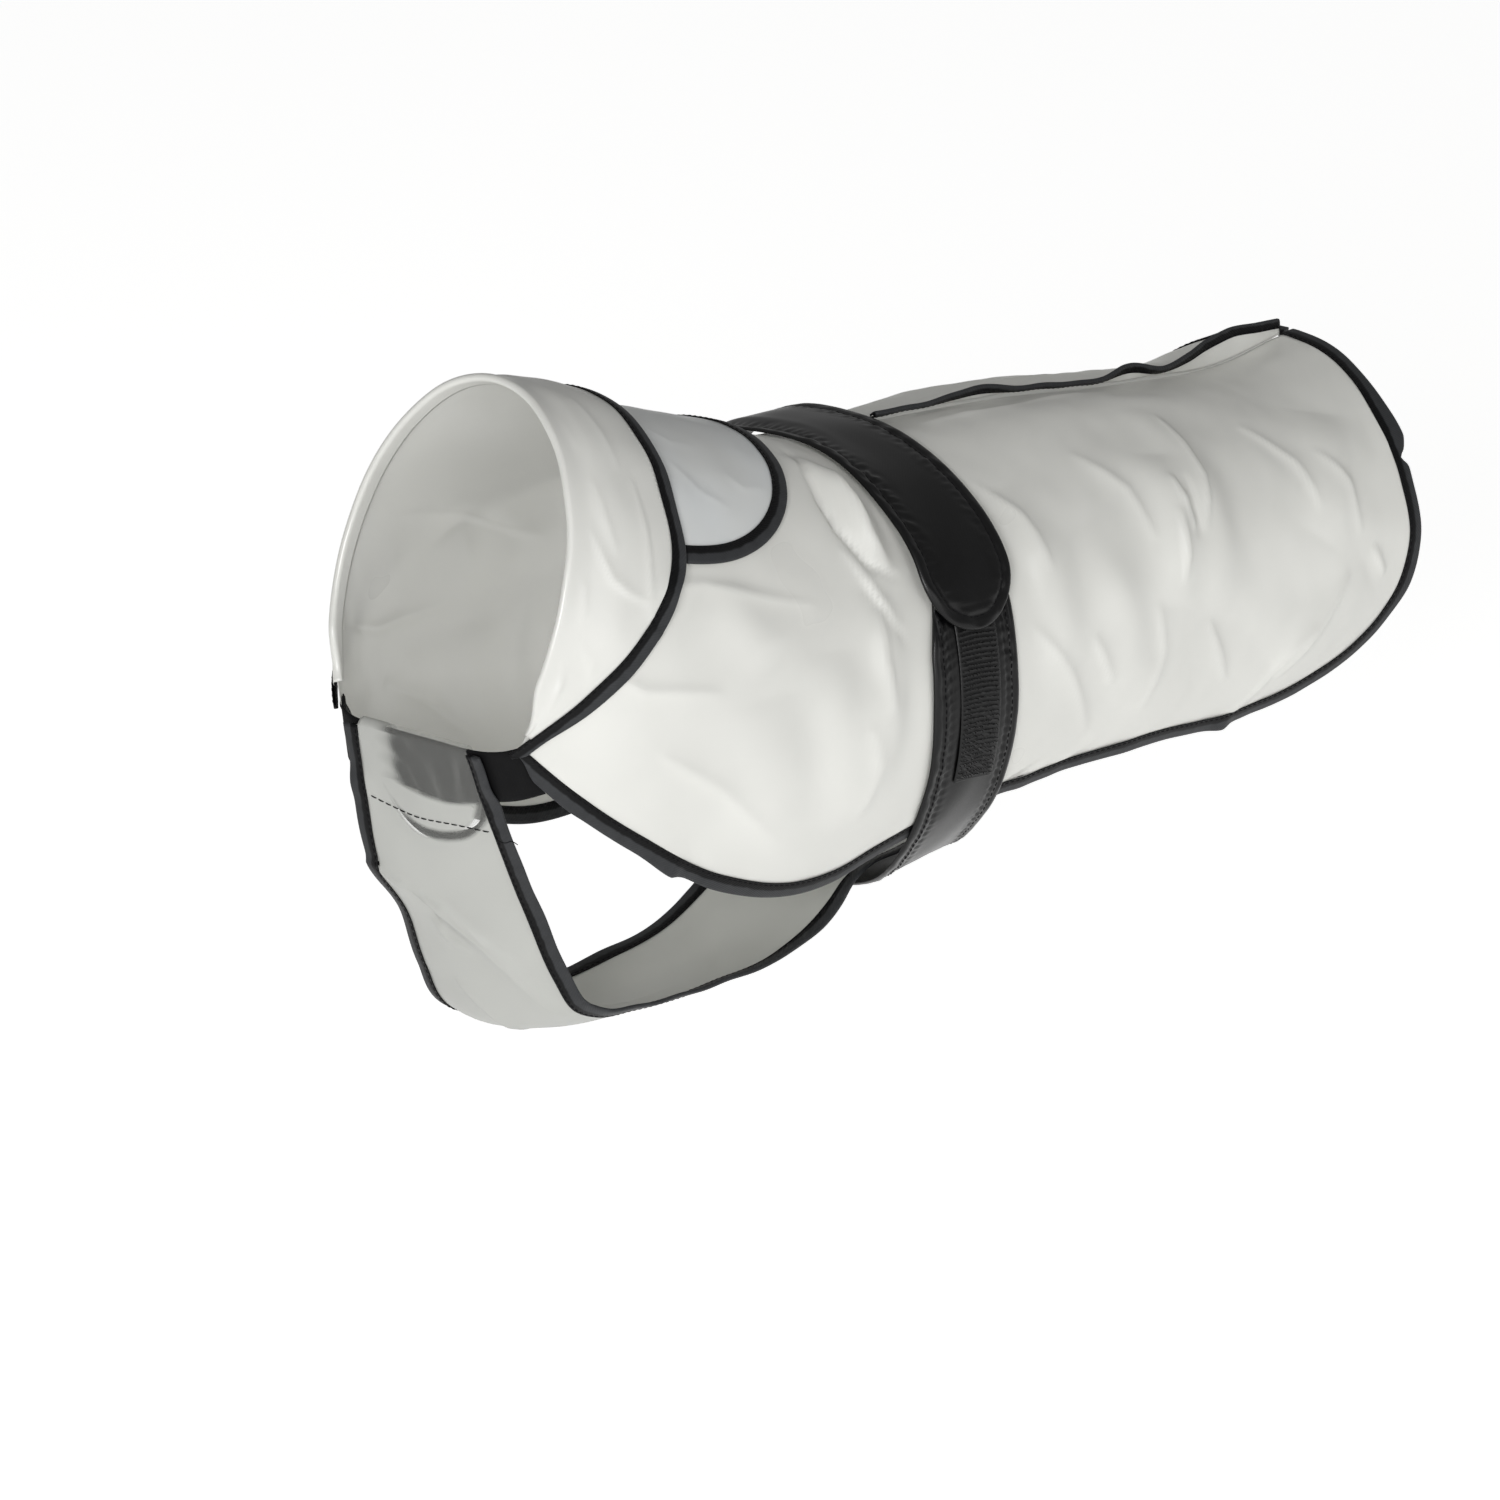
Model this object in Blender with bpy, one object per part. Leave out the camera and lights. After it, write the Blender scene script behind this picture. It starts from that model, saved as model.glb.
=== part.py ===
"""A dog raincoat of frosted film with black taped edges, hollow, in the rounded shape that it has when worn.

X runs from the neck to the tail, -Y is the coat's left side and Z is up. The origin lies on the inside of the
back, on the seam's line under the middle of the belt.
The coat's pattern is laid on a general rounded figure. A place on it is (back, girth): the distance along the
back from the neck fold, and the distance round from the back seam, above zero on the left side. A lift is a
height above the figure. The tables are in millimetres and degrees, and the meshes in metres.
"""

import math
from functools import lru_cache

import bpy
import numpy as np

MM = 0.001

# Driving dimensions, in mm.
FILM = 1.2  # wall of every film piece
SEAM_GAP = 0.3  # between pieces that are sewn together or lie on each other
TAPE_WIDTH = 8.0  # finished width of the black binding
TAPE_THICK = 2.4

NECK_EDGE = 2.0  # the coat's film starts this far behind the neck fold
BELT_PLACE = 205.0  # middle of the belt, along the back
BELT_WIDTH = 52.0
BELT_THICK = 2.2
HOOK_WIDTH = 25.0
ELASTIC_WIDTH = 24.0
STRIP_WIDTH = 66.0  # chest strip's film, between its tapes

SHADE_ANGLE = 40.0  # edges sharper than this stay crisp

# The figure's rings, neck to tail: top and lowest point, half width, and how square the upper and the lower
# half of each ring are, where 2 is an ellipse.
FIGURE = (
    # top_x, top_z, low_x, low_z, half_width, square, low_square
    (-198, 58, -250, -107, 66, 2.0, 2.0),
    (-138, 36, -210, -185, 84, 2.0, 2.0),
    (-75, 17, -118, -222, 92, 2.1, 2.1),
    (-20, 1, -26, -200, 95, 2.15, 2.0),
    (40, 0, 40, -188, 96, 2.2, 2.05),
    (110, -3, 110, -180, 96, 2.4, 2.4),
    (190, -10, 190, -176, 95, 2.5, 2.5),
    (260, -12, 258, -171, 94, 2.3, 2.3),
    (300, -5, 294, -167, 92, 2.1, 2.1),
)
RING_STEPS = 120
PROBE = 0.5  # step for measuring directions on the figure


# ---- the figure ----


def smooth(places, values, at):
    """A smooth curve through the values, straight beyond its ends."""
    places, values = np.asarray(places, float), np.asarray(values, float)
    slopes = np.gradient(values, places)
    i = int(np.clip(np.searchsorted(places, at) - 1, 0, len(places) - 2))
    span = places[i + 1] - places[i]
    t = (at - places[i]) / span
    if t < 0:
        return values[0] + slopes[0] * (at - places[0])
    if t > 1:
        return values[-1] + slopes[-1] * (at - places[-1])
    return (
        values[i] * (2 * t**3 - 3 * t**2 + 1)
        + slopes[i] * span * (t**3 - 2 * t**2 + t)
        + values[i + 1] * (3 * t**2 - 2 * t**3)
        + slopes[i + 1] * span * (t**3 - t**2)
    )


def running_length(points):
    """Distance of each point from the first, along the line through them."""
    steps = np.linalg.norm(np.diff(np.asarray(points, float), axis=0), axis=1)
    return np.concatenate([[0], np.cumsum(steps)])


RING_BACKS = running_length([row[:2] for row in FIGURE])
BACK_LENGTH = RING_BACKS[-1]  # neck fold to the film's rear edge, along the back seam


@lru_cache(maxsize=None)
def ring(back):
    """The ring at a distance along the back: points down its left side, and their distances from the top."""
    top_x, top_z, low_x, low_z, half_width, square, low_square = (
        smooth(RING_BACKS, column, back) for column in zip(*FIGURE)
    )
    turn = np.linspace(0, math.pi, RING_STEPS + 1)
    power = 2 / np.where(turn < math.pi / 2, square, low_square)
    across = half_width * np.abs(np.sin(turn)) ** power
    down = 0.5 - 0.5 * np.sign(np.cos(turn)) * np.abs(np.cos(turn)) ** power
    points = np.stack([top_x + (low_x - top_x) * down, -across, top_z + (low_z - top_z) * down], axis=1)
    return points, running_length(points)


def half_girth(back):
    return ring(back)[1][-1]


def on_figure(back, girth):
    points, distances = ring(back)
    whole = 2 * distances[-1]
    girth = (girth + distances[-1]) % whole - distances[-1]
    point = np.array([np.interp(abs(girth), distances, points[:, i]) for i in range(3)])
    point[1] *= -1 if girth < 0 else 1
    return point


def unit(vector):
    return vector / np.linalg.norm(vector)


def directions(back, girth):
    """Unit vectors on the figure: towards the tail, round towards the left side, and outward."""
    along = on_figure(back + PROBE, girth) - on_figure(back - PROBE, girth)
    around = on_figure(back, girth + PROBE) - on_figure(back, girth - PROBE)
    return unit(along), unit(around), unit(np.cross(around, along))


def place(back, girth, lift=0.0):
    return on_figure(back, girth) + directions(back, girth)[2] * lift


def ease(t):
    t = min(max(t, 0.0), 1.0)
    return t * t * (3 - 2 * t)


# ---- mesh making ----


def material(name, colour, roughness, alpha=1.0):
    made = bpy.data.materials.new(name)
    made.use_nodes = True
    shader = made.node_tree.nodes["Principled BSDF"]
    shader.inputs["Base Color"].default_value = (*colour, 1)
    shader.inputs["Roughness"].default_value = roughness
    shader.inputs["Metallic"].default_value = 0.0
    shader.inputs["Alpha"].default_value = alpha
    return made


def add_object(name, points, faces, finish):
    mesh = bpy.data.meshes.new(name)
    mesh.from_pydata([tuple(p * MM) for p in points], [], faces)
    mesh.shade_smooth()
    mesh.set_sharp_from_angle(angle=math.radians(SHADE_ANGLE))
    mesh.materials.append(finish)
    made = bpy.data.objects.new(name, mesh)
    bpy.context.collection.objects.link(made)
    return made


def wall(name, rows, thick, finish, turned=False):
    """A sheet through rows of points, thickened on its outward side."""
    count = len(rows[0])
    points = [p for row in rows for p in row]
    faces = []
    for i in range(len(rows) - 1):
        for j in range(count - 1):
            a = i * count + j
            quad = (a, a + count, a + count + 1, a + 1)
            faces.append(quad[::-1] if turned else quad)
    made = add_object(name, points, faces, finish)
    solidify = made.modifiers.new("thickness", "SOLIDIFY")
    solidify.thickness = thick * MM
    solidify.offset = 1.0
    solidify.use_even_offset = True
    return made


# Sections of a tape, with its outer corners cut, and of a plain strap: shares of the width and the thickness.
TAPE_SECTION = ((0, -0.5), (0.75, -0.5), (1, -0.25), (1, 0.25), (0.75, 0.5), (0, 0.5))
STRAP_SECTION = ((0, -0.5), (1, -0.5), (1, 0.5), (0, 0.5))


def ribbon(name, starts, acrosses, ups, widths, thicks, finish, section=TAPE_SECTION):
    """A long flat solid: from each start a section reaches out along across, and is thick along up."""
    count = len(section)
    points = [
        start + across * (width * x) + up * (thick * y)
        for start, across, up, width, thick in zip(starts, acrosses, ups, widths, thicks)
        for x, y in section
    ]
    faces = []
    for i in range(len(starts) - 1):
        for j in range(count):
            k = (j + 1) % count
            faces.append((i * count + j, i * count + k, (i + 1) * count + k, (i + 1) * count + j))
    last = (len(starts) - 1) * count
    faces.append(tuple(reversed(range(count))))
    faces.append(tuple(range(last, last + count)))
    made = add_object(name, points, faces, finish)
    corner = points[0], points[1], points[count]
    run = starts[1] - starts[0]
    if np.dot(np.cross(corner[1] - corner[0], ups[0]), run) < 0:
        made.data.flip_normals()
    return made


def edge_tape(name, line, side, finish, ends=(0.0, 0.0)):
    """Binding along a film edge. The line holds (back, girth, lift of the film's inner face)."""
    middles = [place(b, g, lift + FILM / 2) for b, g, lift in line]
    ups = [directions(b, g)[2] for b, g, _ in line]
    runs = [unit(p) for p in np.gradient(np.array(middles), axis=0)]
    acrosses = [unit(np.cross(run, up)) * side for run, up in zip(runs, ups)]
    starts = [p + a * SEAM_GAP for p, a in zip(middles, acrosses)]
    count = len(line)
    starts[0] = starts[0] - runs[0] * ends[0]
    starts[-1] = starts[-1] + runs[-1] * ends[1]
    return ribbon(name, starts, acrosses, ups, [TAPE_WIDTH] * count, [TAPE_THICK] * count, finish)


# ---- the coat ----

# Film edge of the hem on the left side, from the front corner to the rear corner.
HEM = (
    # back, girth
    (2, 177),
    (30, 194),
    (67, 212),
    (104, 228),
    (138, 232),
    (152, 228),
    (168, 219),
    (189, 211),
    (215, 207),
    (253, 205),
    (312, 201),
    (376, 198),
    (407, 193),
    (438, 183),
    (472, 164),
)
# Film edge of the rear, from the tail to the same rear corner.
REAR = ((BACK_LENGTH, 0), (504, 36), (495, 75), (493, 105), (494, 130), (487, 150), (472, 164))
SLIT_FROM, SLIT_TO = 78.0, 122.0  # the opening for a lead, in the back seam under the flap
SLIT_OPENING = 1.5  # half its widest opening

# Soft folds of the film: where each starts and ends, how wide it is, and how far it stands out.
FOLDS = (
    # back, girth, to_back, to_girth, width, height
    (146, 50, 160, 100, 16, 4.0),
    (160, 105, 152, 200, 18, 3.0),
    (74, 104, 108, 132, 18, 2.5),
    (104, 150, 122, 222, 22, 2.5),
    (242, 34, 440, 32, 24, 3.5),
    (252, 70, 264, 155, 20, 2.5),
    (284, 95, 308, 180, 22, 3.0),
    (348, 76, 330, 140, 18, 3.5),
    (364, 40, 360, 150, 22, 3.0),
    (466, 60, 430, 120, 26, 3.0),
    (462, 140, 400, 180, 22, 2.5),
)
BELT_CLEAR = 18.0  # the folds die out over this distance from the belt
FLAP_CLEAR = 25.0  # and from the flap


def fold_lift(back, girth):
    """How far the folds lift the film. They die out under the belt, the flap and the collar."""
    total = 0.0
    for b, g, to_b, to_g, width, height in FOLDS:
        run = np.array([to_b - b, to_g - g], float)
        offset = np.array([back - b, abs(girth) - g], float)
        t = float(np.clip(offset @ run / (run @ run), 0, 1))
        away = np.linalg.norm(offset - run * t) / width
        total += height * math.exp(-2 * away * away) * (1 - (2 * t - 1) ** 2)
    clear_of_belt = ease((abs(back - BELT_PLACE) - BELT_WIDTH / 2) / BELT_CLEAR)
    clear_of_flap = ease((math.hypot(back - COLLAR_FALL, girth) - FLAP_GIRTH) / FLAP_CLEAR)
    return total * clear_of_belt * clear_of_flap


def along_table(table, share):
    """A point at a share of a table's length, on a smooth curve through its rows."""
    rows = np.array(table, float)
    steps = running_length(rows)
    return np.array([smooth(steps, column, share * steps[-1]) for column in rows.T])


def seam_girth(back):
    """Half the gap along the back seam, which opens into the lead slit."""
    t = (back - SLIT_FROM) / (SLIT_TO - SLIT_FROM)
    return SEAM_GAP / 2 + (SLIT_OPENING * math.sin(math.pi * t) if 0 < t < 1 else 0.0)


def coat_place(a, b):
    """(back, girth) inside the coat's left half: a runs from neck to tail, b from the seam to the hem."""
    seam_back = NECK_EDGE + (BACK_LENGTH - NECK_EDGE) * a
    seam = np.array([seam_back, 0.0])
    hem = along_table(HEM, a)
    neck = np.array([HEM[0][0], HEM[0][1] * b])
    rear = along_table(REAR, b)
    corners = (1 - a) * (1 - b) * neck * [1, 0] + (1 - a) * b * np.array(HEM[0])
    corners = corners + a * (1 - b) * np.array(REAR[0]) + a * b * np.array(REAR[-1])
    back, girth = (1 - b) * seam + b * hem + (1 - a) * neck + a * rear - corners
    return back, girth + seam_girth(back) * (1 - b)


COAT_ROWS, COAT_COLUMNS = 34, 13


def coat_half(name, side, finish):
    rows = []
    for i in range(COAT_ROWS + 1):
        row = []
        for j in range(COAT_COLUMNS + 1):
            back, girth = coat_place(i / COAT_ROWS, j / COAT_COLUMNS)
            row.append(place(back, side * girth, fold_lift(back, girth)))
        rows.append(row)
    return wall(name, rows, FILM, finish, turned=side > 0)


HEM_TAPE_STEPS = 34
REAR_TAPE_STEPS = 16


def hem_tape(name, side, finish):
    line = [along_table(HEM, i / HEM_TAPE_STEPS) for i in range(HEM_TAPE_STEPS)]
    line += [along_table(REAR, 1 - i / REAR_TAPE_STEPS) for i in range(REAR_TAPE_STEPS + 1)]
    line = [(b, side * max(g, 2 * SEAM_GAP), fold_lift(b, g)) for b, g in line]
    return edge_tape(name, line, side, finish)


# ---- the back seam's allowance and its tape ----

# Height of the allowance's film and its lean to the left, along the back.
SEAM = (
    # back, height, lean
    (234, 1.5, 78),
    (262, 1.5, 80),
    (286, 1.8, 60),
    (302, 2.5, 35),
    (322, 1.5, 78),
    (352, 1.5, 80),
    (380, 1.5, 76),
    (402, 3.5, 25),
    (422, 2.0, 66),
    (440, 4.5, 22),
    (456, 7.5, 2),
    (475, 8.5, -2),
    (492, 5.5, 0),
    (507, 2.0, 4),
)
SEAM_TAPE_HEIGHT = 4.5
SEAM_TAPE_THICK = 3.0
SEAM_LEAN_FOOT = 0.6  # a leaning allowance starts higher, by this share of the tape's thickness
SEAM_STEPS = 44


def back_seam(film_finish, tape_finish):
    backs, heights, leans = (np.array(column, float) for column in zip(*SEAM))
    starts, tape_starts, acrosses, ups, tall = [], [], [], [], []
    for back in np.linspace(backs[0], backs[-1], SEAM_STEPS + 1):
        height, lean = smooth(backs, heights, back), math.radians(smooth(backs, leans, back))
        _, around, up = directions(back, 0)
        stand = up * math.cos(lean) + around * math.sin(lean)
        foot = FILM + SEAM_GAP + SEAM_LEAN_FOOT * SEAM_TAPE_THICK * abs(math.sin(lean))
        starts.append(place(back, 0, foot))
        tape_starts.append(starts[-1] + stand * (height + 2 * SEAM_GAP))
        acrosses.append(stand)
        ups.append(around * math.cos(lean) - up * math.sin(lean))
        tall.append(height)
    count = len(starts)
    ribbon("seam_allowance", starts, acrosses, ups, tall, [2 * FILM] * count, film_finish, STRAP_SECTION)
    tape = [SEAM_TAPE_HEIGHT] * count
    ribbon("seam_tape", tape_starts, acrosses, ups, tape, [SEAM_TAPE_THICK] * count, tape_finish)


# ---- the collar ----

# How far the film falls from the fold, at distances from the back seam. The last is the collar's end.
FALL = ((0, 50), (60, 50), (98, 51), (118, 44), (136, 34), (155, 21), (175, 9))  # girth, fall
COLLAR_GIRTH = FALL[-1][0]
COLLAR_FALL = FALL[0][1]
COLLAR_LIFT = 5.4  # of the free edge above the figure, over the flap
COLLAR_END_LIFT = 2.6
COLLAR_END_FROM, COLLAR_END_OVER = 106.0, 45.0  # girth where the edge starts to come down, and over how far
# The fold round the coat's neck edge: places of the face that lies on the film.
COLLAR_FOLD = ((9.0, -0.4), (2.4, -0.4), (1.4, 0.1), (1.4, 1.2), (2.4, 1.7))  # back, lift
COLLAR_AFTER_FOLD = 2.6  # the outer layer starts this far behind the fold
COLLAR_SHARES = (0.3, 0.5, 0.75, 1.0)  # of the fall
COLLAR_RISE = 1.4  # how soon the outer layer rises to its edge's lift
COLLAR_TAPE_STEPS = 42


def collar_fall(girth):
    return smooth([row[0] for row in FALL], [row[1] for row in FALL], abs(girth))


def collar_edge_lift(girth):
    down = ease((abs(girth) - COLLAR_END_FROM) / COLLAR_END_OVER)
    return COLLAR_LIFT - (COLLAR_LIFT - COLLAR_END_LIFT) * down


def collar(film_finish, tape_finish):
    rows = []
    low = COLLAR_FOLD[-1][1]
    for column in range(-COAT_COLUMNS, COAT_COLUMNS + 1):
        girth = float(np.clip(HEM[0][1] * column / COAT_COLUMNS, -COLLAR_GIRTH, COLLAR_GIRTH))
        fall, edge = collar_fall(girth), collar_edge_lift(girth)
        row = [place(min(back, fall), girth, lift) for back, lift in COLLAR_FOLD]
        for share in COLLAR_SHARES:
            back = max(share * fall, COLLAR_AFTER_FOLD + share)
            row.append(place(back, girth, low + (edge - low) * ease(share * COLLAR_RISE)))
        rows.append(row)
    wall("collar", rows, FILM, film_finish)
    spots = np.linspace(-COLLAR_GIRTH, COLLAR_GIRTH, COLLAR_TAPE_STEPS + 1)
    line = [(collar_fall(g), g, collar_edge_lift(g)) for g in spots]
    edge_tape("collar_tape", line, -1, tape_finish)


# ---- the flap over the lead slit ----

FLAP_FRONT = 42.0
FLAP_REAR = 133.0
FLAP_GIRTH = 88.0
FLAP_SIDE = 20.0  # straight part of its sides, under the collar
FLAP_ROUND = 2.4
FLAP_LIFT = 2.2
FLAP_ROWS, FLAP_COLUMNS = 24, 7
FLAP_TAPE_STEPS = 30


def flap_edge(share):
    """(back, girth) along the flap's free edge, from its right end to its left."""
    turn = math.pi * share
    reach = FLAP_REAR - FLAP_FRONT - FLAP_SIDE
    back = FLAP_FRONT + FLAP_SIDE + reach * abs(math.sin(turn)) ** (2 / FLAP_ROUND)
    girth = -FLAP_GIRTH * math.copysign(abs(math.cos(turn)) ** (2 / FLAP_ROUND), math.cos(turn))
    return back, girth


def flap(film_finish, tape_finish):
    rows = []
    for i in range(FLAP_ROWS + 1):
        back, girth = flap_edge(i / FLAP_ROWS)
        front = FLAP_GIRTH * (2 * i / FLAP_ROWS - 1)
        shares = [j / FLAP_COLUMNS for j in range(FLAP_COLUMNS + 1)]
        rows.append(
            [place(FLAP_FRONT * (1 - t) + back * t, front * (1 - t) + girth * t, FLAP_LIFT) for t in shares]
        )
    wall("flap", rows, FILM, film_finish)
    line = [(*flap_edge(i / FLAP_TAPE_STEPS), FLAP_LIFT) for i in range(FLAP_TAPE_STEPS + 1)]
    edge_tape("flap_tape", line, -1, tape_finish)


# ---- the belt ----

BELT_TIP_GIRTH = 125.0  # end of the rounded tip, on the left side
BELT_HIDDEN_GIRTH = 92.0  # end of the lower part, under the tip
# Lift of the belt's inner face from its tip over the back. It stands off the right side and laps its own end.
BELT = (
    # girth, lift
    (-140, 2.3),
    (-105, 2.6),
    (-72, 6.0),
    (-40, 8.5),
    (-8, 5.0),
    (25, 2.6),
    (60, 2.5),
    (92, 6.3),
    (125, 6.3),
)
BELT_LOW_LIFT = BELT[0][1]  # everywhere else, under the belly and up to the hidden end
# How far the belt leans towards the tail, at distances round from the back seam.
BELT_LEAN = ((0, 0), (180, 0), (230, 5), (268, 16), (311, 22))  # girth, lean
HOOK_THICK = 1.0
HOOK_FROM, HOOK_TO = 99.0, 191.0  # girths of its ends
BELT_STEPS = 76
BELT_TIP_SHARES = (0.02, 0.12, 0.3, 0.6)  # of the rounded tip's radius, from its end
BELT_ACROSS = (-1, -HOOK_WIDTH / BELT_WIDTH, 0, HOOK_WIDTH / BELT_WIDTH, 1)


def belt_lift(girth):
    girths, lifts = zip(*BELT)
    return smooth(girths, lifts, girth) if girth > girths[0] else BELT_LOW_LIFT


def belt_row(girth, reach, lift, shares):
    """Points across the belt, up to its reach to each side of its middle."""
    whole = 2 * half_girth(BELT_PLACE)
    round_from_seam = min(abs(girth), whole - abs(girth))
    middle = BELT_PLACE + smooth(*zip(*BELT_LEAN), round_from_seam)
    ahead, behind = (on_figure(middle + step, girth) for step in (PROBE, -PROBE))
    stretch = np.linalg.norm(ahead - behind) / (2 * PROBE)
    return [place(middle + reach * x / stretch, girth, lift) for x in shares]


def belt(strap_finish, hook_finish):
    """The belt from its tip over the back, under the belly and up the left side to its hidden end."""
    whole = 2 * half_girth(BELT_PLACE)
    half = BELT_WIDTH / 2
    rows = []
    for share in BELT_TIP_SHARES:
        reach = half * math.sqrt(1 - (1 - share) ** 2)
        girth = BELT_TIP_GIRTH - half * share
        rows.append(belt_row(girth, reach, belt_lift(girth), BELT_ACROSS))
    girths = np.linspace(BELT_TIP_GIRTH - half, BELT_HIDDEN_GIRTH - whole, BELT_STEPS)
    rows += [belt_row(girth, half, belt_lift(girth), BELT_ACROSS) for girth in girths]
    wall("belt", rows, BELT_THICK, strap_finish, turned=True)
    lift = BELT_LOW_LIFT + BELT_THICK + SEAM_GAP
    hooks = [girth for girth in girths if HOOK_FROM < girth + whole < HOOK_TO]
    rows = [belt_row(girth, half, lift, BELT_ACROSS[1:-1]) for girth in hooks]
    wall("hook_tape", rows, HOOK_THICK, hook_finish, turned=True)


# ---- the chest strip, its casing and the elastic ----

# The strip's middle line, from the fold at its top, down the chest and back under the belly to the belt.
STRIP = (
    # x, z, bow, skew
    (-245, -86, 0, 0),
    (-232, -118, 1, 8),
    (-219, -148, 4, 14),
    (-207, -174, 6, 10),
    (-195, -197, 7, 13),
    (-184, -212, 7, 15),
    (-170, -218, 7, 11),
    (-150, -220, 6, 9),
    (-100, -219, 4, 5),
    (-62, -214, 2, 2),
    (-44, -207, 1, 0),
    (-30, -198, 2, 0),
    (-20, -190, 4, 0),
    (-10, -186, 6, 0),
    (10, -183, 6, 0),
    (34, -179, 6, 0),
)
STRIP_STEPS = 30
STRIP_FIRST = 0.006  # share of its length where the front layer starts, under the fold
STRIP_HALF = STRIP_WIDTH / 2
STRIP_ACROSS = (-1, -0.65, -0.3, 0, 0.3, 0.65, 1)
CASING_GAP = 3.6
# The folded-back end of the strip, which holds the elastic: distances down from the top and behind the front
# layer, and the share of the half width.
CASING = (
    # down, behind, share
    (41, CASING_GAP, 0.1),
    (39.5, CASING_GAP, 0.34),
    (35, CASING_GAP, 0.54),
    (27, CASING_GAP, 0.7),
    (14, CASING_GAP, 0.85),
    (3, CASING_GAP, 0.95),
    (0.6, 2.8, 1),
    (-0.2, 1.8, 1),
    (0.6, 0.8, 1),
)


def strip_frame(share):
    """Middle point, run, inward direction, bow and skew of the strip at a share of its length."""
    rows = np.array(STRIP, float)
    steps = running_length(rows[:, :2])
    at = share * steps[-1]
    x, z, bow, skew = (smooth(steps, column, at) for column in rows.T)
    before, after = (
        np.array([smooth(steps, rows[:, 0], spot), 0, smooth(steps, rows[:, 1], spot)])
        for spot in (at - PROBE, at + PROBE)
    )
    run = unit(after - before)
    inward = np.array([-run[2], 0, run[0]])
    return np.array([x, 0, z]), run, inward, max(bow, 0.0), max(skew, 0.0)


def strip_point(share, across, behind=0.0):
    """A point of the strip. Its middle stands out from the edges by the bow, and its right edge by the skew."""
    middle, _, inward, bow, skew = strip_frame(share)
    part = across / STRIP_HALF
    out = bow * (1 - part * part) + skew * (1 + part) / 2
    return middle + inward * (behind - out) + np.array([0, across, 0])


def casing_point(down, behind, across):
    """A point of the casing, which lies in the plane of the strip's top."""
    middle, run, inward = strip_frame(0.0)[:3]
    return middle + run * down + inward * behind + np.array([0, across, 0])


def chest_strip(film_finish, tape_finish):
    rows = [[casing_point(d, b, STRIP_HALF * w * x) for x in STRIP_ACROSS] for d, b, w in CASING]
    shares = [STRIP_FIRST] + [i / STRIP_STEPS for i in range(1, STRIP_STEPS + 1)]
    rows += [[strip_point(s, STRIP_HALF * x) for x in STRIP_ACROSS] for s in shares]
    wall("chest_strip", rows, FILM, film_finish, turned=True)
    for name, side in (("strip_tape_left", -1), ("strip_tape_right", 1)):
        starts = [strip_point(s, side * (STRIP_HALF + SEAM_GAP), -FILM / 2) for s in shares]
        acrosses, ups = [], []
        for s in shares:
            edge, beyond = (strip_point(s, side * (STRIP_HALF + d)) for d in (0, PROBE))
            acrosses.append(unit(beyond - edge))
            ups.append(unit(np.cross(acrosses[-1], strip_frame(s)[1])))
        count = len(shares)
        ribbon(name, starts, acrosses, ups, [TAPE_WIDTH] * count, [TAPE_THICK] * count, tape_finish)
    casing_tape(tape_finish)


CASING_TAPE_FROM = 10.0  # distance down from the strip's top where the binding starts
CASING_TAPE_STEPS = 18
CASING_TAPE_THICK = 1.6


def casing_tape(finish):
    """Binding round the folded-back rounded end of the strip."""
    rounded = [row for row in CASING if row[0] > CASING_TAPE_FROM]
    right = [(down, STRIP_HALF * share) for down, _, share in rounded[::-1]]
    left = [(down, -STRIP_HALF * share) for down, _, share in rounded]
    shares = np.linspace(0, 1, CASING_TAPE_STEPS + 1)
    line = np.array([along_table(right + left, share) for share in shares])
    run, inward = strip_frame(0.0)[1:3]
    starts, acrosses = [], []
    tangents = np.gradient(line, axis=0)
    for spot, (run_down, run_across) in zip(line, tangents):
        out = unit(np.array([-run_across, run_down]))
        down, across = spot + out * SEAM_GAP
        starts.append(casing_point(down, CASING_GAP + FILM / 2, across))
        acrosses.append(run * out[0] + np.array([0, out[1], 0]))
    count = len(line)
    widths, thicks = [TAPE_WIDTH] * count, [CASING_TAPE_THICK] * count
    ribbon("casing_tape", starts, acrosses, [inward] * count, widths, thicks, finish)


# The elastic's middle line: distances across, and behind the strip's front layer.
ELASTIC = (
    # across, behind
    (-57, 18.5),
    (-50, 10),
    (-44, 5),
    (-37, 2.4),
    (-30, 1.8),
    (-15, 1.8),
    (0, 1.8),
    (15, 1.8),
    (30, 1.8),
    (37, 2.4),
    (44, 5),
    (50, 10),
    (57, 18.5),
)
ELASTIC_THICK = 1.6
ELASTIC_TOP = 2.5  # its upper edge below the casing's fold
ELASTIC_STEPS = 24


def chest_elastic(finish):
    across, behind = (np.array(column, float) for column in zip(*ELASTIC))
    run = strip_frame(0.0)[1]
    spots = np.linspace(across[0], across[-1], ELASTIC_STEPS + 1)
    starts = [casing_point(ELASTIC_TOP, smooth(across, behind, y), y) for y in spots]
    tangents = np.gradient(np.array(starts), axis=0)
    ups = [unit(np.cross(run, t)) for t in tangents]
    count = len(starts)
    widths, thicks = [ELASTIC_WIDTH] * count, [ELASTIC_THICK] * count
    ribbon("chest_elastic", starts, [run] * count, ups, widths, thicks, finish, STRAP_SECTION)


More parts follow.
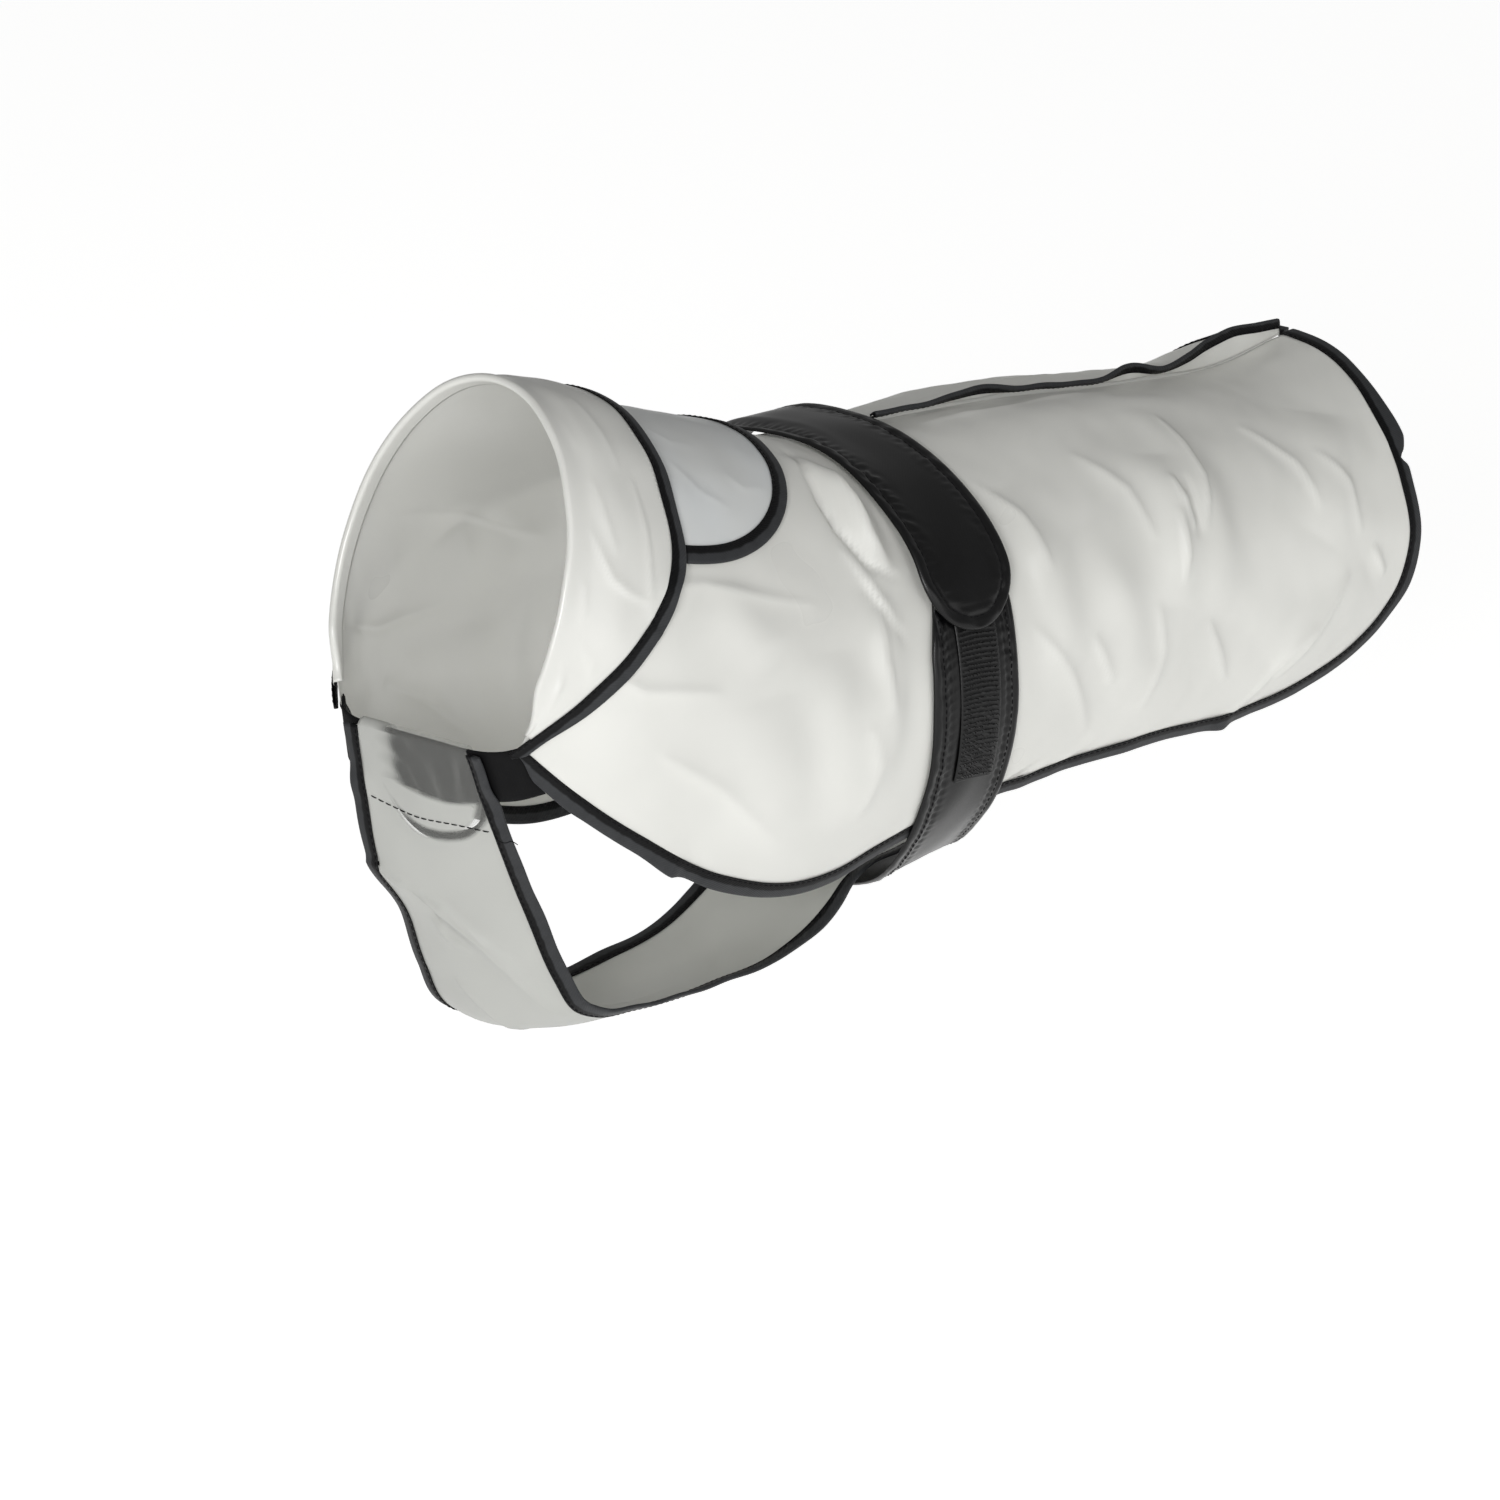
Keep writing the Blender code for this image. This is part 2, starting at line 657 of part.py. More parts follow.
def main():
    for old in list(bpy.data.objects):
        bpy.data.objects.remove(old)
    film = material("frosted_film", (0.80, 0.81, 0.79), 0.35, alpha=0.6)
    tape = material("black_tape", (0.02, 0.02, 0.022), 0.5)
    strap = material("black_strap", (0.012, 0.012, 0.013), 0.4)
    hook = material("black_hook", (0.01, 0.01, 0.01), 0.9)
    rib = material("black_elastic", (0.012, 0.012, 0.013), 0.8)
    coat_half("coat_left", 1, film)
    coat_half("coat_right", -1, film)
    hem_tape("hem_tape_left", 1, tape)
    hem_tape("hem_tape_right", -1, tape)
    back_seam(film, tape)
    collar(film, tape)
    flap(film, tape)
    belt(strap, hook)
    chest_strip(film, tape)
    chest_elastic(rib)


main()
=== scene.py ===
import math

import bpy
import numpy as np
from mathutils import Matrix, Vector


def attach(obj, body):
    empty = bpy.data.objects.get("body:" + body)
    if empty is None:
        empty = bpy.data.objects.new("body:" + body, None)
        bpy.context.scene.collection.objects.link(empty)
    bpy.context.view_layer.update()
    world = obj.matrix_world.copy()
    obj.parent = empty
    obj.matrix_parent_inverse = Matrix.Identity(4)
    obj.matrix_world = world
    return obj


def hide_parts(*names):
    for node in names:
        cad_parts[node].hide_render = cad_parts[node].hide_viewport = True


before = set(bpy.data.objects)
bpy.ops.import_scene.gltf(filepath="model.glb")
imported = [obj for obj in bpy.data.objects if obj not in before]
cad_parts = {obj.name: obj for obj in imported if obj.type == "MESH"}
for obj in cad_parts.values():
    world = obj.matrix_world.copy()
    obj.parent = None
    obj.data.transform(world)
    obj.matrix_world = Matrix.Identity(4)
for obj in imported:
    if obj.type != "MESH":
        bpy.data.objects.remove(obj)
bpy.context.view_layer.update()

# Dog raincoat of frosted film, bound in black. Lengths are in mm unless a name says otherwise.
# back = distance along the back from the neck fold, girth = distance round from the back seam, above zero
# on the left, lift = height above the figure that the pattern lies on.
# swell and sway entries hold the height, wavelength and seed of an uneven ripple.
mm = 0.001


def linear(hexColour):
    parts = [int(hexColour[i:i + 2], 16) / 255 for i in (1, 3, 5)]
    return (*[c / 12.92 if c <= 0.04045 else ((c + 0.055) / 1.055) ** 2.4 for c in parts], 1)


def addNode(tree, kind, settings=None, links=None):
    # settings: node properties, or sockets by name or number; links: socket -> output socket
    node = tree.nodes.new(kind)
    for key, value in (settings or {}).items():
        if isinstance(key, str) and hasattr(node, key):
            setattr(node, key, value)
        else:
            node.inputs[key].default_value = value
    for key, source in (links or {}).items():
        tree.links.new(source, node.inputs[key])
    return node


def curve(places, values, at):
    # a smooth curve through the values, straight beyond its ends
    places, values, at = (np.asarray(x, float) for x in (places, values, at))
    slopes = np.gradient(values, places)
    i = np.clip(np.searchsorted(places, at) - 1, 0, len(places) - 2)
    span = places[i + 1] - places[i]
    t = np.clip((at - places[i]) / span, 0, 1)
    inside = values[i] * (2 * t**3 - 3 * t**2 + 1) + slopes[i] * span * (t**3 - 2 * t**2 + t)
    inside = inside + values[i + 1] * (3 * t**2 - 2 * t**3) + slopes[i + 1] * span * (t**3 - t**2)
    return inside + slopes[0] * np.minimum(at - places[0], 0) + slopes[-1] * np.maximum(at - places[-1], 0)


def runningLength(points):
    steps = np.linalg.norm(np.diff(np.asarray(points, float), axis=0), axis=1)
    return np.concatenate([[0], np.cumsum(steps)])


def tableCurve(table, at, number=1):
    # a smooth curve through one of the table's columns, counted in its first
    rows = np.array(table, float)
    return curve(rows[:, 0], rows[:, number], at)


def between(at, distances, table):
    # rows of a table of points or vectors, straight from one to the next
    return np.stack([np.interp(at, distances, values) for values in table.T], axis=-1)


def alongTable(table, share):
    # points at shares of a table's length, on a smooth curve through its rows
    rows = np.array(table, float)
    steps = runningLength(rows)
    return np.stack([curve(steps, values, np.asarray(share) * steps[-1]) for values in rows.T], axis=-1)


def unit(vectors):
    return vectors / np.linalg.norm(vectors, axis=-1, keepdims=True)


def ease(t):
    t = np.clip(t, 0, 1)
    return t * t * (3 - 2 * t)


def bump(x, at, reach):
    return np.exp(-(((x - at) / reach) ** 2))


def ripple(u, v, swell, more=0):
    # uneven swell of nine waves in all directions; swell: height, wavelength, seed
    height, wave, seed = swell
    draw = np.random.default_rng(seed + more)
    total = 0
    for turn, phase, stretch in draw.uniform((0, 0, 0.6), (math.pi, 2 * math.pi, 1.7), (9, 3)):
        along = u * math.cos(turn) + v * math.sin(turn)
        total = total + np.sin(2 * math.pi * along / (wave * stretch) + phase)
    return height * total / 4


view = {
    "distance": 3478, "lens": 192, "sensor": 36, "azimuth": 45, "elevation": 16,
    "aimAcross": -32.2, "aimUp": -137.0,  # middle of the picture from the part's origin
    "floor": -385, "floorSize": 24000, "floorColour": "#fbfbfa", "floorGlow": 0.62,
    "sky": 0.34, "keyPlace": (-2.7, -1.9, 0.6), "keyPower": 62, "keySize": 0.8,
    "fillPlace": (-0.6, -3.0, 0.6), "fillPower": 20, "fillSize": 2.0,
}


def addCamera():
    turn, tip = math.radians(view["azimuth"]), math.radians(view["elevation"])
    back = Vector((-math.sin(turn) * math.cos(tip), -math.cos(turn) * math.cos(tip), math.sin(tip)))
    right = Vector((math.cos(turn), -math.sin(turn), 0))
    up = back.cross(right)
    camera = bpy.data.cameras.new("camera")
    camera.lens = view["lens"]
    camera.sensor_width = view["sensor"]
    camera.clip_end = 60
    holder = bpy.data.objects.new("camera", camera)
    holder.location = (back * view["distance"] + right * view["aimAcross"] + up * view["aimUp"]) * mm
    holder.rotation_euler = (-back).to_track_quat("-Z", "Y").to_euler()
    bpy.context.collection.objects.link(holder)
    bpy.context.scene.camera = holder


def addLamp(name, place, power, size, colour="#ffffff"):
    lamp = bpy.data.lights.new(name, "AREA")
    lamp.energy = power
    lamp.size = size
    lamp.color = linear(colour)[:3]
    holder = bpy.data.objects.new(name, lamp)
    holder.location = place
    holder.rotation_euler = (Vector((0, 0, -0.1)) - Vector(place)).to_track_quat("-Z", "Y").to_euler()
    bpy.context.collection.objects.link(holder)


def addStudio():
    world = bpy.data.worlds.new("studio")
    world.use_nodes = True
    world.node_tree.nodes["Background"].inputs["Color"].default_value = (1, 1, 1, 1)
    world.node_tree.nodes["Background"].inputs["Strength"].default_value = view["sky"]
    bpy.context.scene.world = world
    bpy.context.scene.view_settings.view_transform = "Standard"
    addLamp("key", view["keyPlace"], view["keyPower"], view["keySize"])
    addLamp("fill", view["fillPlace"], view["fillPower"], view["fillSize"])
    paint = bpy.data.materials.new("mattePaintedFloor")
    paint.use_nodes = True
    shader = paint.node_tree.nodes["Principled BSDF"]
    shader.inputs["Base Color"].default_value = linear(view["floorColour"])
    shader.inputs["Roughness"].default_value = 0.9
    shader.inputs["Emission Color"].default_value = (1, 1, 1, 1)
    shader.inputs["Emission Strength"].default_value = view["floorGlow"]
    half, low = view["floorSize"] / 2 * mm, view["floor"] * mm
    mesh = bpy.data.meshes.new("floor")
    corners = [(-half, -half, low), (half, -half, low), (half, half, low), (-half, half, low)]
    mesh.from_pydata(corners, [], [(0, 1, 2, 3)])
    mesh.materials.append(paint)
    floor = bpy.data.objects.new("floor", mesh)
    bpy.context.collection.objects.link(floor)


addCamera()
addStudio()
print("camera, light and floor ready")


figure = {
    "rings": (  # top x, top z, low x, low z, half width, how square above and below, where 2 is an ellipse
        (-198, 58, -250, -107, 66, 2.0, 2.0),
        (-138, 36, -210, -185, 84, 2.0, 2.0),
        (-75, 17, -118, -222, 92, 2.1, 2.1),
        (-20, 1, -26, -200, 95, 2.15, 2.0),
        (40, 0, 40, -188, 96, 2.2, 2.05),
        (110, -3, 110, -180, 96, 2.4, 2.4),
        (190, -10, 190, -176, 95, 2.5, 2.5),
        (260, -12, 258, -171, 94, 2.3, 2.3),
        (300, -5, 294, -167, 92, 2.1, 2.1),
    ),
    "step": 2.5, "from": -40, "to": 560, "reach": 360, "ringSteps": 720,
}
ringBacks = runningLength(np.array(figure["rings"])[:, :2])
backLength = ringBacks[-1]


def figureGrid():
    backs = np.arange(figure["from"], figure["to"] + 1, figure["step"])
    girths = np.arange(-figure["reach"], figure["reach"] + 1, figure["step"])
    turn = np.linspace(0, math.pi, figure["ringSteps"] + 1)
    grid, halves = np.empty((len(backs), len(girths), 3)), []
    rings = np.array(figure["rings"], float).T
    for row, back in enumerate(backs):
        topX, topZ, lowX, lowZ, halfWidth, *squares = (curve(ringBacks, values, back) for values in rings)
        power = 2 / np.where(turn < math.pi / 2, *squares)
        down = 0.5 - 0.5 * np.sign(np.cos(turn)) * np.abs(np.cos(turn)) ** power
        across = halfWidth * np.abs(np.sin(turn)) ** power
        points = np.stack([topX + (lowX - topX) * down, -across, topZ + (lowZ - topZ) * down], axis=1)
        distances = runningLength(points)
        halves.append(distances[-1])
        wrapped = (girths + distances[-1]) % (2 * distances[-1]) - distances[-1]
        for axis in range(3):
            grid[row, :, axis] = np.interp(np.abs(wrapped), distances, points[:, axis])
        grid[row, :, 1] *= np.where(wrapped < 0, -1, 1)
    return backs, np.array(halves), grid


gridBacks, gridHalves, gridPoints = figureGrid()


def halfGirth(back):
    return np.interp(back, gridBacks, gridHalves)


def cubicWeights(t):
    inner = 1.5 * t**3 - 2.5 * t**2 + 1, 2 * t**2 - 1.5 * t**3 + t / 2
    return -t**3 / 2 + t**2 - t / 2, *inner, (t**3 - t**2) / 2


def onFigure(back, girth):
    back, girth = np.broadcast_arrays(np.asarray(back, float), np.asarray(girth, float))
    half = halfGirth(back)
    girth = (girth + half) % (2 * half) - half
    u = (back - figure["from"]) / figure["step"]
    v = (girth + figure["reach"]) / figure["step"]
    i = np.clip(np.floor(u).astype(int), 1, gridPoints.shape[0] - 3)
    j = np.clip(np.floor(v).astype(int), 1, gridPoints.shape[1] - 3)
    point = 0
    for m, rowWeight in enumerate(cubicWeights(u - i)):
        for n, columnWeight in enumerate(cubicWeights(v - j)):
            point = point + (rowWeight * columnWeight)[..., None] * gridPoints[i + m - 1, j + n - 1]
    return point


def directions(back, girth):
    # unit vectors towards the tail, round towards the left side, and outward
    along = onFigure(back + 0.5, girth) - onFigure(back - 0.5, girth)
    around = onFigure(back, girth + 0.5) - onFigure(back, girth - 0.5)
    return unit(along), unit(around), unit(np.cross(around, along))


def place(back, girth, lift=0.0):
    return onFigure(back, girth) + directions(back, girth)[2] * np.asarray(lift, float)[..., None]


print("figure ready")


def signedVolume(points, faces):
    a, b, c, d = (points[faces[:, k]] for k in range(4))
    return (np.einsum("ij,ij->i", a, np.cross(b, c)) + np.einsum("ij,ij->i", a, np.cross(c, d))).sum() / 6


def addPiece(name, points, faces, finish, slot, node=None, weave=None):
    # weave holds each point's place on the cloth, along it and across it, for the materials' patterns
    if signedVolume(points, faces) < 0:
        faces = faces[:, ::-1]
    mesh = bpy.data.meshes.new(name)
    mesh.from_pydata((points * mm).tolist(), [], faces.tolist())
    mesh.validate()
    mesh.shade_smooth()
    mesh.materials.append(finish)
    if weave is not None:
        weave = weave.reshape(len(points), -1)
        pattern = mesh.attributes.new("weave", "FLOAT_VECTOR", "POINT")
        flat = np.zeros((len(points), 3), np.float32)
        flat[:, :weave.shape[1]] = weave * mm
        pattern.data.foreach_set("vector", flat.ravel())
    piece = bpy.data.objects.new(name, mesh)
    bpy.context.collection.objects.link(piece)
    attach(piece, "root")
    if node:
        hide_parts(node)
    return piece


def quads(rows, columns, start=0):
    i, j = np.meshgrid(np.arange(rows - 1), np.arange(columns - 1), indexing="ij")
    a = (i * columns + j).ravel() + start
    return np.stack([a, a + columns, a + columns + 1, a + 1], axis=1)


def addSlab(name, outer, inner, finish, slot, node, weave):
    # closed wall between two grids of points
    rows, columns = outer.shape[:2]
    count = rows * columns
    border = np.concatenate([
        np.arange(columns), np.arange(1, rows) * columns + columns - 1,
        count - 2 - np.arange(columns - 1), np.arange(rows - 2, 0, -1) * columns,
    ])
    after = np.roll(border, -1)
    rim = np.stack([border, after, after + count, border + count], axis=1)
    faces = np.concatenate([quads(rows, columns), quads(rows, columns, count)[:, ::-1], rim])
    points = np.concatenate([outer.reshape(-1, 3), inner.reshape(-1, 3)])
    return addPiece(name, points, faces, finish, slot, node, np.concatenate([weave.reshape(count, -1)] * 2))


def addCloth(name, grid, half, finish, slot, node, weave):
    # a layer that reaches half of its thickness to each side of a grid of points
    offset = unit(np.cross(np.gradient(grid, axis=0), np.gradient(grid, axis=1))) * half
    return addSlab(name, grid + offset, grid - offset, finish, slot, node, weave)


def addFilm(name, grid, finish, node, *weave):
    return addCloth(name, grid, film["thickness"] / 2, finish, "frosted_film", node, np.stack(weave, axis=-1))


def loft(stations):
    # closed tube with capped ends through equal loops of points
    count, around = stations.shape[:2]
    i, j = np.meshgrid(np.arange(count - 1), np.arange(around), indexing="ij")
    a, b = (i * around + j).ravel(), (i * around + (j + 1) % around).ravel()
    faces = np.stack([a, b, b + around, a + around], axis=1)
    # each cap is a strip across the loop, from its two halves
    k = np.arange(around // 2 - 1)
    cap = np.stack([k, around - 1 - k, around - 2 - k, k + 1], axis=1)
    last = (count - 1) * around
    return stations.reshape(-1, 3), np.concatenate([faces, cap, cap[:, ::-1] + last])


def lofts(tubes):
    one, faces = loft(tubes[0])
    every = (np.arange(len(tubes)) * len(one))[:, None, None] + faces[None]
    return tubes.reshape(-1, 3), every.reshape(-1, 4)


def rings(sides, ups, around):
    # loops of unit radius
    turn = np.arange(around) * 2 * math.pi / around
    return sides[..., None, :] * np.cos(turn)[:, None] + ups[..., None, :] * np.sin(turn)[:, None]


tape = {
    "width": 8.0, "thick": 2.0,
    "tuck": 3.2, "tuckOver": 8,  # how far a film's edge reaches in, and over which width the film is drawn
    # section: share of the width from the open side, share of half the thickness
    "slot": ((0.56, 0.22), (0.3, 0.3), (0.02, 0.34)),
    "face": (
        (0.0, 0.55), (0.015, 0.78), (0.05, 0.88), (0.11, 0.86), (0.155, 0.74), (0.2, 0.84), (0.28, 0.93),
        (0.45, 1.0), (0.65, 1.0), (0.82, 0.95), (0.92, 0.82), (0.975, 0.58), (0.998, 0.2),
    ),
    "stitchPlace": 0.155, "stitchHeight": 0.8,
}
stitching = {
    "length": 2.5, "gap": 0.75, "radius": 0.21, "around": 6, "ahead": 0.2,
    # share of the length, then height and thickness as shares of the radius
    "shape": ((0.0, -0.9, 0.5), (0.16, 0.25, 0.95), (0.5, 0.6, 1.05), (0.84, 0.25, 0.95), (1.0, -0.9, 0.5)),
}


def threads(line, ups, size=stitching):
    # raised stitches along a line: each one dips into the cloth at both ends
    pitch = size["length"] + size["gap"]
    distances = runningLength(line)
    starts = np.arange(pitch / 2, distances[-1] - pitch, pitch)
    share, height, reach = np.array(stitching["shape"]).T
    at = starts[:, None] + share * size["length"]
    spots = between(at, distances, line)
    normals = unit(between(at, distances, ups))
    runs = unit(between(at + stitching["ahead"], distances, line) - spots)
    loops = rings(unit(np.cross(runs, normals)), normals, stitching["around"])
    middles = spots + normals * (height * size["radius"])[:, None]
    return lofts(middles[:, :, None] + loops * (reach * size["radius"])[:, None, None])


def cord(line, radius):
    # a round thread along a line of points
    runs = unit(np.gradient(line, axis=0))
    sides = unit(np.cross(runs, runs[::-1] + [0.1, 0.3, 0.2]))
    return loft(line[:, None] + radius * rings(sides, np.cross(runs, sides), stitching["around"]))


def addTape(name, node, edge, width=tape["width"], thick=tape["thick"]):
    # a tape folded over an edge: a slot for the cloth, a groove near the open side, stitches on both faces
    # edge: points on the open side, unit vectors to the fold and outward
    middles, acrosses, ups = edge
    width = np.broadcast_to(width, len(middles))
    slot, face = np.array(tape["slot"]), np.array(tape["face"])
    section = np.concatenate([slot, face, face[::-1] * [1, -1], slot[::-1] * [1, -1]])
    x, y = section[:, 0] * width[:, None], section[:, 1] * thick / 2
    points, faces = loft(middles[:, None] + acrosses[:, None] * x[..., None] + ups[:, None] * y[:, None])
    along = np.broadcast_to(runningLength(middles)[:, None], x.shape)
    weave = np.stack([along, x], axis=-1)
    bound = addPiece(name, points, faces, tapeFinish, "black_tape", node, weave)
    line = middles + acrosses * (tape["stitchPlace"] * width)[:, None]
    height = tape["stitchHeight"] * thick / 2
    rows = [threads(line + ups * height * side, ups * side) for side in (1, -1)]
    return [bound, addPiece(name + "Stitches", *joined(rows), threadFinish, "black_tape")]


def edgeFrame(middles, ups, side):
    # unit vectors across an edge, away from the cloth, and outward
    runs = unit(np.gradient(middles, axis=0))
    acrosses = unit(np.cross(runs, ups)) * side
    return acrosses, unit(np.cross(acrosses, runs)) * side


def turned(acrosses, ups, degrees):
    turn = np.radians(degrees)[:, None]
    return acrosses * np.cos(turn) + ups * np.sin(turn), ups * np.cos(turn) - acrosses * np.sin(turn)


def tuckMove(at, distances, middles, acrosses, edge):
    # from the film's edge to its place inside the tape
    return between(at, distances, middles) + unit(between(at, distances, acrosses)) * tape["tuck"] - edge


def joined(parts):
    start, points, faces = 0, [], []
    for p, f in parts:
        points.append(p)
        faces.append(f + start)
        start += len(p)
    return np.concatenate(points), np.concatenate(faces)


film = {
    # the flap's tone is the same film painted lighter, as painted light, and bluer for the doubled layer
    "highlight": "#e2e2de", "body": "#d2d2ce", "flap": "#dde1e4",
    # the chest strip's two tones are the same film painted darker: painted shade on its forward and downward
    # face
    "strip": "#a9aaa6", "stripShadedHighlight": "#b9bab6", "through": "#ebebe7",
    "roughness": 0.3, "smoother": 0.04, "rougher": 0.06, "ior": 1.49, "specular": 0.9,
    "milk": 0.3,  # share of the light that goes through scattered
    # see-through share where it lies on something, full up to one distance from it and gone at the other
    "pressedClear": 0.86, "pressedNear": 0.6, "pressedFar": 3.2,
    "cloud": 55, "thickness": 0.3, "cadWall": 1.2,
    "grain": 1.1,  # of the frosting: several times coarser than the real one, which would be under a pixel
}


def addNoise(tree, size, detail, where):
    # size in mm
    settings = {"Scale": 1 / (size * mm), "Detail": detail}
    return addNode(tree, "ShaderNodeTexNoise", settings, {"Vector": where}).outputs["Fac"]


def mixed(tree, dark, light, share):
    settings = {"data_type": "RGBA", 6: linear(dark), 7: linear(light)}
    return addNode(tree, "ShaderNodeMix", settings, {0: share}).outputs[2]


def addRelief(tree, strength, depth, height):
    settings = {"Strength": strength, "Distance": depth * mm}
    return addNode(tree, "ShaderNodeBump", settings, {"Height": height}).outputs["Normal"]


def frostedFilm(name, body, highlight, pressed=False):
    # TPU film, calendered with a frosted face: milky, with broad soft glints, clearer where it is pressed on
    made = bpy.data.materials.new(name)
    made.use_nodes = True
    tree = made.node_tree
    tree.nodes.clear()
    where = addNode(tree, "ShaderNodeTexCoord").outputs["Object"]
    cloudy = addNoise(tree, film["cloud"], 2.0, where)
    tone = mixed(tree, body, highlight, cloudy)
    relief = addRelief(tree, 0.1, 0.04, addNoise(tree, film["grain"], 1.0, where))
    gloss = addNode(tree, "ShaderNodeMapRange", {
        "From Min": 0.2, "From Max": 0.8,
        "To Min": film["roughness"] - film["smoother"], "To Max": film["roughness"] + film["rougher"],
    }, {"Value": cloudy})
    face = addNode(tree, "ShaderNodeBsdfPrincipled", {
        "IOR": film["ior"], "Specular IOR Level": film["specular"],
    }, {"Base Color": tone, "Roughness": gloss.outputs["Result"], "Normal": relief})
    glow = addNode(tree, "ShaderNodeBsdfTranslucent", {"Color": linear(film["through"])}, {"Normal": relief})
    shown = addNode(tree, "ShaderNodeMixShader", {0: film["milk"]}, {1: face.outputs[0], 2: glow.outputs[0]})
    if pressed:
        # the third number of the weave is how far the film lies from what is under it
        weave = addNode(tree, "ShaderNodeAttribute", {"attribute_name": "weave"}).outputs["Vector"]
        off = addNode(tree, "ShaderNodeSeparateXYZ", None, {0: weave}).outputs["Z"]
        clear = addNode(tree, "ShaderNodeMapRange", {
            "interpolation_type": "SMOOTHSTEP", "From Min": film["pressedNear"] * mm,
            "From Max": film["pressedFar"] * mm, "To Min": film["pressedClear"], "To Max": 0.0,
        }, {"Value": off})
        straight = addNode(tree, "ShaderNodeBsdfTransparent")
        shown = addNode(tree, "ShaderNodeMixShader", None, {
            0: clear.outputs["Result"], 1: shown.outputs[0], 2: straight.outputs[0],
        })
    addNode(tree, "ShaderNodeOutputMaterial", None, {"Surface": shown.outputs[0]})
    return made


def blackCloth(name, dark, light, roughness, gloss, ribs, shadedSewnEdge=None):
    # ribs: pitch and depth in mm and the direction that they are counted in
    # stitched edge: colour and width of its darker band, partly the flattened stitched weave and partly
    # painted shade where the tape lies against the film
    made = bpy.data.materials.new(name)
    made.use_nodes = True
    tree = made.node_tree
    shader = tree.nodes["Principled BSDF"]
    weave = addNode(tree, "ShaderNodeAttribute", {"attribute_name": "weave"}).outputs["Vector"]
    pitch, depth, direction = ribs
    bands = addNode(tree, "ShaderNodeTexWave", {
        "wave_type": "BANDS", "bands_direction": direction, "Scale": 2 * math.pi / (20 * pitch * mm),
        "Distortion": 0.5, "Detail": 1.0, "Detail Scale": 2.0,
    }, {"Vector": weave})
    fluff = addNoise(tree, 5, 5.0, weave)
    colour = mixed(tree, dark, light, fluff)
    relief = addRelief(tree, 0.5, depth, bands.outputs["Fac"])
    if shadedSewnEdge:
        # painted shade: a darker band along the stitched side, next to the film, together with the flattened
        # weave there
        across = addNode(tree, "ShaderNodeSeparateXYZ", None, {0: weave}).outputs["Y"]
        edgeShadeColour, wide = shadedSewnEdge
        settings = {"operation": "MULTIPLY_ADD", 1: 1.6 * mm}
        uneven = addNode(tree, "ShaderNodeMath", settings, {0: fluff, 2: across}).outputs[0]
        settings = {"From Min": wide * mm, "From Max": (wide + 0.8) * mm}
        share = addNode(tree, "ShaderNodeMapRange", settings, {"Value": uneven}).outputs["Result"]
        settings = {"data_type": "RGBA", 6: linear(edgeShadeColour)}
        colour = addNode(tree, "ShaderNodeMix", settings, {0: share, 7: colour}).outputs[2]
    tree.links.new(colour, shader.inputs["Base Color"])
    tree.links.new(relief, shader.inputs["Normal"])
    shader.inputs["Roughness"].default_value = roughness
    shader.inputs["Specular IOR Level"].default_value = gloss
    return made


filmFinish = frostedFilm("frostedTpuFilm", film["body"], film["highlight"])
# the same film over a second layer of it, which takes the warmth out; its tone is also set lighter than the
# coat film as painted light
flapLitFinish = frostedFilm("frostedTpuFilmDoubledPaintedLight", film["flap"], film["body"])
# the chest strip's film: a darker copy of the same film as painted shade, clearer where it lies on the
# elastic
stripShadedFinish = frostedFilm("frostedTpuFilmOnElasticPaintedShade", film["strip"], film["stripShadedHighlight"], pressed=True)
# plain-woven tape, its folded edge smooth and grey, its stitched edge flattened and darker, that darkness
# partly painted shade where the tape lies against the film
tapeFinish = blackCloth(
    "wovenPolyesterBinding", "#262728", "#343537", 0.5, 0.14, (0.8, 0.12, "DIAGONAL"), ("#050506", 4.0))
# satin-woven: smooth threads on the face give a soft broad gleam
strapFinish = blackCloth("wovenPolyesterSatin", "#030303", "#09090a", 0.3, 0.26, (0.5, 0.03, "DIAGONAL"))
# moulded hooks: dull, as each hook shades the next
hookFinish = blackCloth("mouldedNylonHooks", "#020202", "#0a0a0b", 0.42, 0.3, (2.1, 0.2, "X"))
# ribbed knit over rubber threads: matt
elasticFinish = blackCloth("knittedElastic", "#030304", "#0c0c0d", 0.8, 0.15, (1.35, 0.3, "X"))
# spun thread: matt, a little lighter than the tape
threadFinish = blackCloth("spunPolyesterThread", "#080809", "#121214", 0.7, 0.1, (0.4, 0.05, "X"))
print("materials ready")


